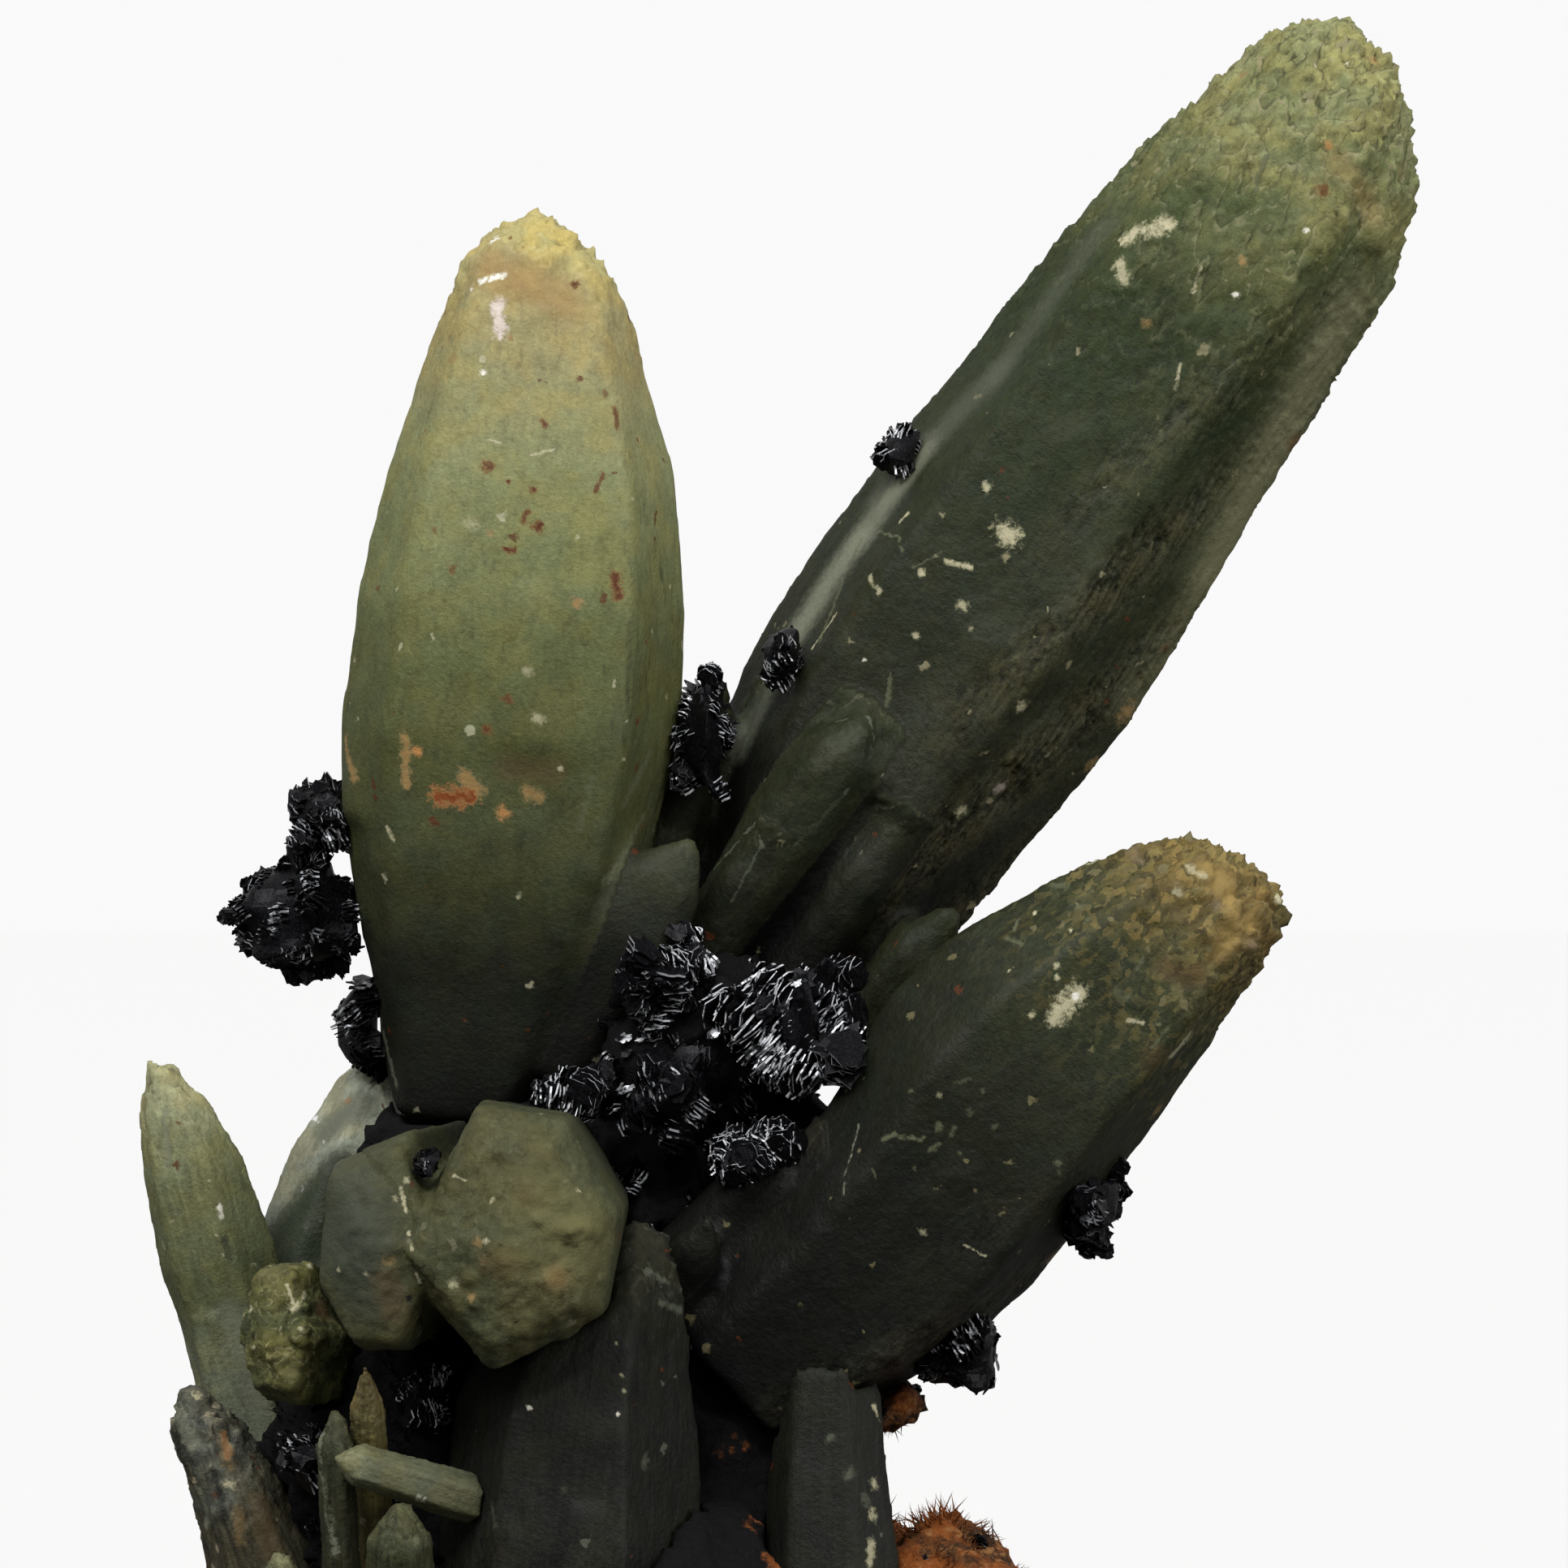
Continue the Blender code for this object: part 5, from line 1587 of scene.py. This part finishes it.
FRONT_SPOTS = (
    *marks(Mark.CHIP, (-6.8, 31.1, 0.2, 0.8), (0.1, 30.6, 0.2, 0.7)),
    *marks(Mark.CREAM, (0.3, 33.6, 0.18, 0.5), (-0.1, 36.0, 0.14, 0.4), (0.6, 32.4, 0.14, 0.35)),
    *marks(Mark.ASH, (2.2, 27.0, 0.5, 0.35), (3.6, 40.9, 0.35, 0.5, 2.2, 41.6),
           (4.9, 38.6, 0.3, 0.5, 3.4, 39.2), (5.6, 42.6, 0.35, 0.6, 5.4, 41.0),
           (-8.6, 36.0, 0.3, 0.25, -9.4, 22.0), (-4.0, 24.8, 0.3, 0.2)))
POST_SPOTS = (
    *marks(Mark.CREAM, (19.75, 31.3, 0.16, 0.6, 20.9, 27.4), (19.8, 25.2, 0.4, 0.5), (19.7, 22.8, 0.45, 0.55),
           (19.6, 20.6, 0.4, 0.5, 19.5, 19.2)),
    *marks(Mark.ASH, (16.4, 28.8, 0.4, 0.4), (18.0, 26.0, 0.5, 0.4), (19.2, 24.0, 0.5, 0.35)))
STUB_SPOTS = (
    *marks(Mark.EMBER, (-30.3, 29.0, 0.3, 0.5, -29.9, 27.4)),
    *marks(Mark.OCHRE, (-30.2, 28.4, 0.5, 0.25, -29.8, 26.4), (-29.3, 23.2, 0.5, 0.2, -29.0, 21.0)),
    *marks(Mark.PEARL, (-33.6, 30.6, 0.7, 0.6, -32.6, 28.6), (-32.4, 26.4, 0.35, 0.5, -31.6, 22.0),
           (-28.6, 27.4, 0.4, 0.35, -27.4, 22.6)),
    *marks(Mark.BLACK, (-33.8, 28.2, 0.6, 0.6), (-30.9, 26.0, 0.35, 0.6, -30.2, 22.4)),
    *marks(Mark.CREAM, (-29.8, 25.2, 0.4, 0.8), (-32.4, 32.0, 0.4, 0.6), (-34.6, 31.6, 0.45, 0.5)),
    *marks(Mark.BROWN, (-27.6, 24.0, 1.0, 0.4, -26.6, 20.0)))
BLADE_SPOTS = (
    *marks(Mark.CHIP, (-30.6, 46.6, 0.2, 0.5, -30.5, 45.8)),
    *marks(Mark.CREAM, (-30.8, 44.4, 0.15, 0.6), (-30.3, 42.9, 0.15, 0.5), (-31.4, 48.6, 0.15, 0.4)),
    *marks(Mark.BLACK, (-30.2, 44.0, 0.3, 0.4, -29.8, 42.6)),
    *marks(Mark.PEARL, (-29.8, 38.6, 1.2, 0.35, -27.9, 31.6), (-34.8, 54.0, 0.3, 0.4, -34.6, 50.0)))
BACK_LEFT_SPOTS = (
    *marks(Mark.ORANGE, (-20.7, 54.7, 0.3, 0.9)),
    *marks(Mark.ASH, (-19.6, 54.6, 1.2, 0.7, -22.4, 52.4)),
    *marks(Mark.FERN, (-21.2, 49.4, 1.6, 0.95, -26.4, 43.6), (-20.4, 46.0, 2.2, 0.95, -25.4, 41.6)))
COLUMN_SPOTS = marks(Mark.PEARL, (-22.0, 31.6, 0.35, 0.7, -21.7, 20.0))
ROUND_SPOTS = (
    *marks(Mark.CREAM, (-23.6, 42.0, 0.3, 0.7), (-28.2, 38.6, 0.25, 0.6),
           (-24.0, 39.8, 0.22, 0.7, -24.9, 38.6), (-24.4, 37.2, 0.22, 0.5), (-28.0, 35.8, 0.2, 0.4),
           (-25.4, 40.6, 0.14, 0.7, -25.0, 39.2)),
    *marks(Mark.LIME, (-26.6, 41.6, 1.1, 0.5), (-24.8, 33.6, 0.9, 0.5)),
    *marks(Mark.BROWN, (-22.6, 38.6, 1.0, 0.6)))

CRYSTALS = (
    CrystalPiece("upright_crystal", PALE_QUARTZ,
                 (Growth((-6.8, -3.0, 122.9), (-12.0, 1.0, 52.5), 15.0, 11.0),
                  Growth((6.9, -6.0, 75.6), (-5.0, -1.0, 56.0), 5.0, 7.0, 51.5)),
                 voxel=0.33, scales=0.22, crust=0.5, points=0.9, grooves=0.2, groove_from=8.0, smoothing=10,
                 soften=8, spots=UPRIGHT_SPOTS),
    CrystalPiece("leaning_crystal", DARK_QUARTZ,
                 (Growth((56.2, 5.0, 138.2), (8.0, 9.0, 57.5), 14.0, 34.0),
                  Growth((19.6, -4.0, 84.6), (2.0, 3.0, 60.0), 4.2, 4.0, 49.0),
                  Growth((12.0, -3.6, 75.8), (3.0, 2.0, 61.0), 2.6, 3.0, 61.0),
                  Growth((22.4, -3.2, 77.0), (10.0, 3.0, 59.0), 3.2, 3.0, 62.0),
                  Growth((26.8, -2.0, 70.4), (16.0, 6.0, 57.0), 4.0, 5.0, 53.0),
                  Growth((8.8, 4.0, 88.0), (1.0, 6.0, 66.0), 3.4, 6.0, 50.0)),
                 voxel=0.33, scales=0.5, crust=0.8, points=0.3, scale_size=(2.0, 4.2), grooves=0.4,
                 groove_from=-1.0, smoothing=4, soften=4, spots=LEANING_SPOTS),
    CrystalPiece("right_crystal", GOLDEN_QUARTZ,
                 (Growth((49.2, -13.0, 71.8), (8.5, -4.0, 34.5), 12.0, 12.0),
                  Growth((15.5, -9.5, 52.5), (3.0, -3.0, 39.0), 4.2, 5.0, 40.0),
                  Growth((7.6, -13.0, 46.8), (3.5, -6.0, 38.0), 2.6, 4.0, 36.0)),
                 voxel=0.32, scales=0.35, crust=0.6, points=1.2, scale_size=(1.8, 4.0), grooves=0.2,
                 groove_from=2.0, soften=4, spots=RIGHT_SPOTS),
    CrystalPiece("front_crystal", TWIN_QUARTZ,
                 (Growth((-8.0, -31.0, 45.4), (-6.5, -3.0, 46.0), 8.5, 10.0),
                  Growth((-17.9, -28.4, 45.0), (-13.5, -3.0, 46.0), 4.6, 3.0)),
                 voxel=0.36, scales=0.16, crust=0.2, points=0.4, scale_size=(2.4, 3.0), spots=TWIN_SPOTS),
    CrystalPiece("lower_front_crystal", SLATE_QUARTZ,
                 (Growth((1.8, -15.0, 46.0), (-4.4, -12.0, 8.0), 10.0, 11.0),),
                 scales=0.3, crust=0.5, grooves=0.3, spots=FRONT_SPOTS),
    CrystalPiece("lower_right_crystal", SLATE_QUARTZ,
                 (Growth((16.8, -9.0, 38.5), (16.4, -11.0, 8.0), 5.0, 5.0),),
                 scales=0.3, crust=0.4, grooves=0.3, spots=POST_SPOTS),
    CrystalPiece("round_crystal", KNOBBLY_QUARTZ,
                 (Growth((-26.0, -17.5, 38.4), (-20.0, -4.0, 36.0), 3.2, 6.0),),
                 voxel=0.25, scales=0.15, crust=0.4, points=0.5, scale_size=(1.4, 2.4), smoothing=4,
                 spots=ROUND_SPOTS),
    CrystalPiece("left_blade", BLADE_QUARTZ,
                 (Growth((-35.7, -4.0, 57.9), (-24.0, 1.0, 14.0), 4.4, 10.0),),
                 voxel=0.33, scales=0.25, crust=0.15, points=0.1, grooves=0.3, groove_from=-1.0, smoothing=3,
                 spots=BLADE_SPOTS),
    CrystalPiece("back_left_crystal", CLEAR_QUARTZ,
                 (Growth((-17.5, 5.0, 59.0), (-27.0, 3.0, 34.0), 5.0, 6.0),),
                 scales=0.25, crust=0.2, spots=BACK_LEFT_SPOTS),
    CrystalPiece("back_tall_crystal", DARK_QUARTZ,
                 (Growth((4.0, 27.0, 84.0), (2.0, 10.0, 44.0), 6.5, 16.0),), grooves=0.3),
    CrystalPiece("back_side_crystal", DARK_QUARTZ,
                 (Growth((31.0, 22.0, 50.0), (11.0, 8.0, 32.0), 5.2, 12.0),)),
    CrystalPiece("back_short_crystal", PALE_QUARTZ,
                 (Growth((-16.0, 24.0, 44.0), (-9.0, 10.0, 20.0), 5.1, 9.0),)),
    CrystalPiece("back_low_crystal", DARK_QUARTZ,
                 (Growth((12.0, 25.5, 37.0), (9.0, 14.0, 12.0), 4.4, 9.0),)),
    CrystalPiece("tan_point", TAN_QUARTZ,
                 (Growth((-18.4, -20.5, 35.6), (-18.0, -9.0, 20.0), 1.6, 9.0),),
                 voxel=0.2, scales=0.2, crust=0.12, points=0.15, scale_size=(0.8, 3.0), smoothing=3),
    CrystalPiece("cross_bar", BAR_QUARTZ,
                 (Growth((-20.6, -22.5, 29.0), (-9.0, -17.0, 25.0), 2.0, 3.0, 7.0),),
                 voxel=0.22, scales=0.3, crust=0.3, scale_size=(1.0, 4.0), smoothing=3),
    CrystalPiece("left_column", COLUMN_QUARTZ,
                 (Growth((-20.8, -18.4, 32.2), (-19.8, -11.0, 6.0), 1.8, 4.0),),
                 voxel=0.22, scales=0.3, crust=0.3, scale_size=(1.0, 4.0), smoothing=3, spots=COLUMN_SPOTS),
    CrystalPiece("lower_block", BLOCK_QUARTZ,
                 (Growth((-15.8, -24.0, 25.6), (-15.5, -13.0, 5.0), 2.8, 4.0),),
                 voxel=0.25, scales=0.3, crust=0.3, scale_size=(1.2, 4.0), smoothing=3),
    CrystalPiece("left_stub", STUB_QUARTZ,
                 (Growth((-32.8, -9.0, 33.0), (-25.0, -3.0, 10.0), 5.0, 12.0),),
                 voxel=0.3, scales=0.5, crust=0.5, grooves=0.5, scale_size=(1.4, 5.0), spots=STUB_SPOTS),
    CrystalPiece("pale_chip", GREY_QUARTZ,
                 (Growth((-25.0, -20.0, 21.4), (-23.5, -11.0, 5.0), 2.6, 3.0),),
                 voxel=0.25, scales=0.35, crust=0.4, scale_size=(1.2, 3.0), smoothing=3),
)

ROSES = (
    Rose("rose_ball", 130, 0.22, (1.5, 2.6), 0.35, 3),
    Rose("rose_upper_left", 26, 0.6, (2.4, 4.0), seed=5),
    Rose("rose_flat_plate", 16, 0.25, seed=7),
    Rose("rose_between", 24, 0.85, (2.2, 3.8), seed=9),
    Rose("rose_on_edge", 12, 0.6, (1.6, 2.6), seed=13),
    Rose("rose_row", 12, 0.7, (1.6, 2.4), seed=15),
    Rose("rose_fan", 46, 1.0, (3.2, 5.4), 0.12, 17),
    Rose("rose_middle", 28, 0.7, (2.4, 4.2), seed=19),
    Rose("rose_centre_left", 20, 0.8, seed=21),
    Rose("rose_centre", 24, 0.2, seed=22),
    Rose("rose_streak", 24, 1.0, (2.4, 4.2), 0.12, 25),
    Rose("rose_under_tip", 26, 0.12, (2.2, 3.4), seed=27),
    Rose("rose_under_right", 20, 0.35, (2.2, 3.4), seed=29),
    Rose("rose_low_left", 14, 0.6, (1.8, 3.0), seed=31),
    Rose("rose_low_middle", 14, 0.5, (1.8, 3.0), seed=33),
    Rose("rose_wedge", 8, 0.35, (1.2, 2.0), seed=34),
    Rose("rose_back", 40, 0.5, seed=35),
)
FACETS = Facets("bright_facets", ((0.6, 59.6, 0.9, 1.0), (1.9, 59.5, 0.6, 0.7), (0.8, 58.4, 0.7, 0.4),
                                  (7.6, 60.0, 1.0, 0.8), (0.8, 55.6, 0.8, 0.45), (-13.4, 49.4, 0.5, 0.4),
                                  (2.2, 64.6, 0.35, 1.0), (14.0, 63.8, 0.7, 1.0), (11.6, 57.4, 0.8, 0.9)))
CRUSTS = (
    PlateCrust("middle_crust", ((-14.0, -14.0, 38.0), (20.0, 12.0, 74.0)), 90, glint=0.45, seed=41),
    PlateCrust("front_crust", ((-16.0, -16.0, 36.0), (22.0, 10.0, 76.0)), 170, (1.3, 2.6), 0.25, 45, True),
    PlateCrust("left_crust", ((-30.0, -18.0, 14.0), (-10.0, 8.0, 46.0)), 60, (0.9, 1.8), 0.5, 42),
    PlateCrust("right_crust", ((14.0, -14.0, 20.0), (34.0, 10.0, 46.0)), 45, (0.9, 1.8), 0.4, 43),
    PlateCrust("back_crust", ((-28.0, 6.0, 8.0), (28.0, 26.0, 70.0)), 110, glint=0.5, seed=44),
)
RUST_NEEDLES = (
    Bristles("rust_needles", ((15.0, -20.0, 4.0), (36.0, 14.0, 30.0)), 170, 2.2, 51),
    Bristles("left_rust_needles", ((-30.0, -20.0, 3.0), (-8.0, 12.0, 16.0)), 70, 1.6, 52),
    Bristles("back_rust_needles", ((-26.0, 8.0, 3.0), (24.0, 26.0, 22.0)), 90, 1.6, 53),
)
BLACK_NEEDLES = (
    Bristles("black_bristles", ((-28.0, -20.0, 16.0), (-8.0, 0.0, 42.0)), 90, 2.0, 54),
)


def main() -> None:
    """Builds the specimen and its studio."""
    effects = Effects()
    made = [crystal.build(effects) for crystal in CRYSTALS]
    rock = MatrixRock().build(effects, RockFinish().material())
    ground = Surface(rock)
    stock = PlateStock()
    hematite = HematiteFinish().material()
    roses = [rose.build(stock, hematite) for rose in ROSES]
    crusts = [crust.build(stock, hematite, ground) for crust in CRUSTS]
    facets = FACETS.build(stock, hematite, [rock, *roses, *crusts])
    stock.clear()
    rust = RockFinish("rust_needles", evenly=1.0).material()
    black = RockFinish("black_needles", brown=(0.03, 0.026, 0.022), rusty_from=200.0).material()
    needles = [tufts.build(rust, ground) for tufts in RUST_NEEDLES]
    needles += [tufts.build(black, ground) for tufts in BLACK_NEEDLES]
    for piece in (*made, rock, *roses, *crusts, facets, *needles):
        log.info("%s: %d faces", piece.name, len(piece.data.polygons))
    Studio().build()


if __name__ == "__main__":
    main()
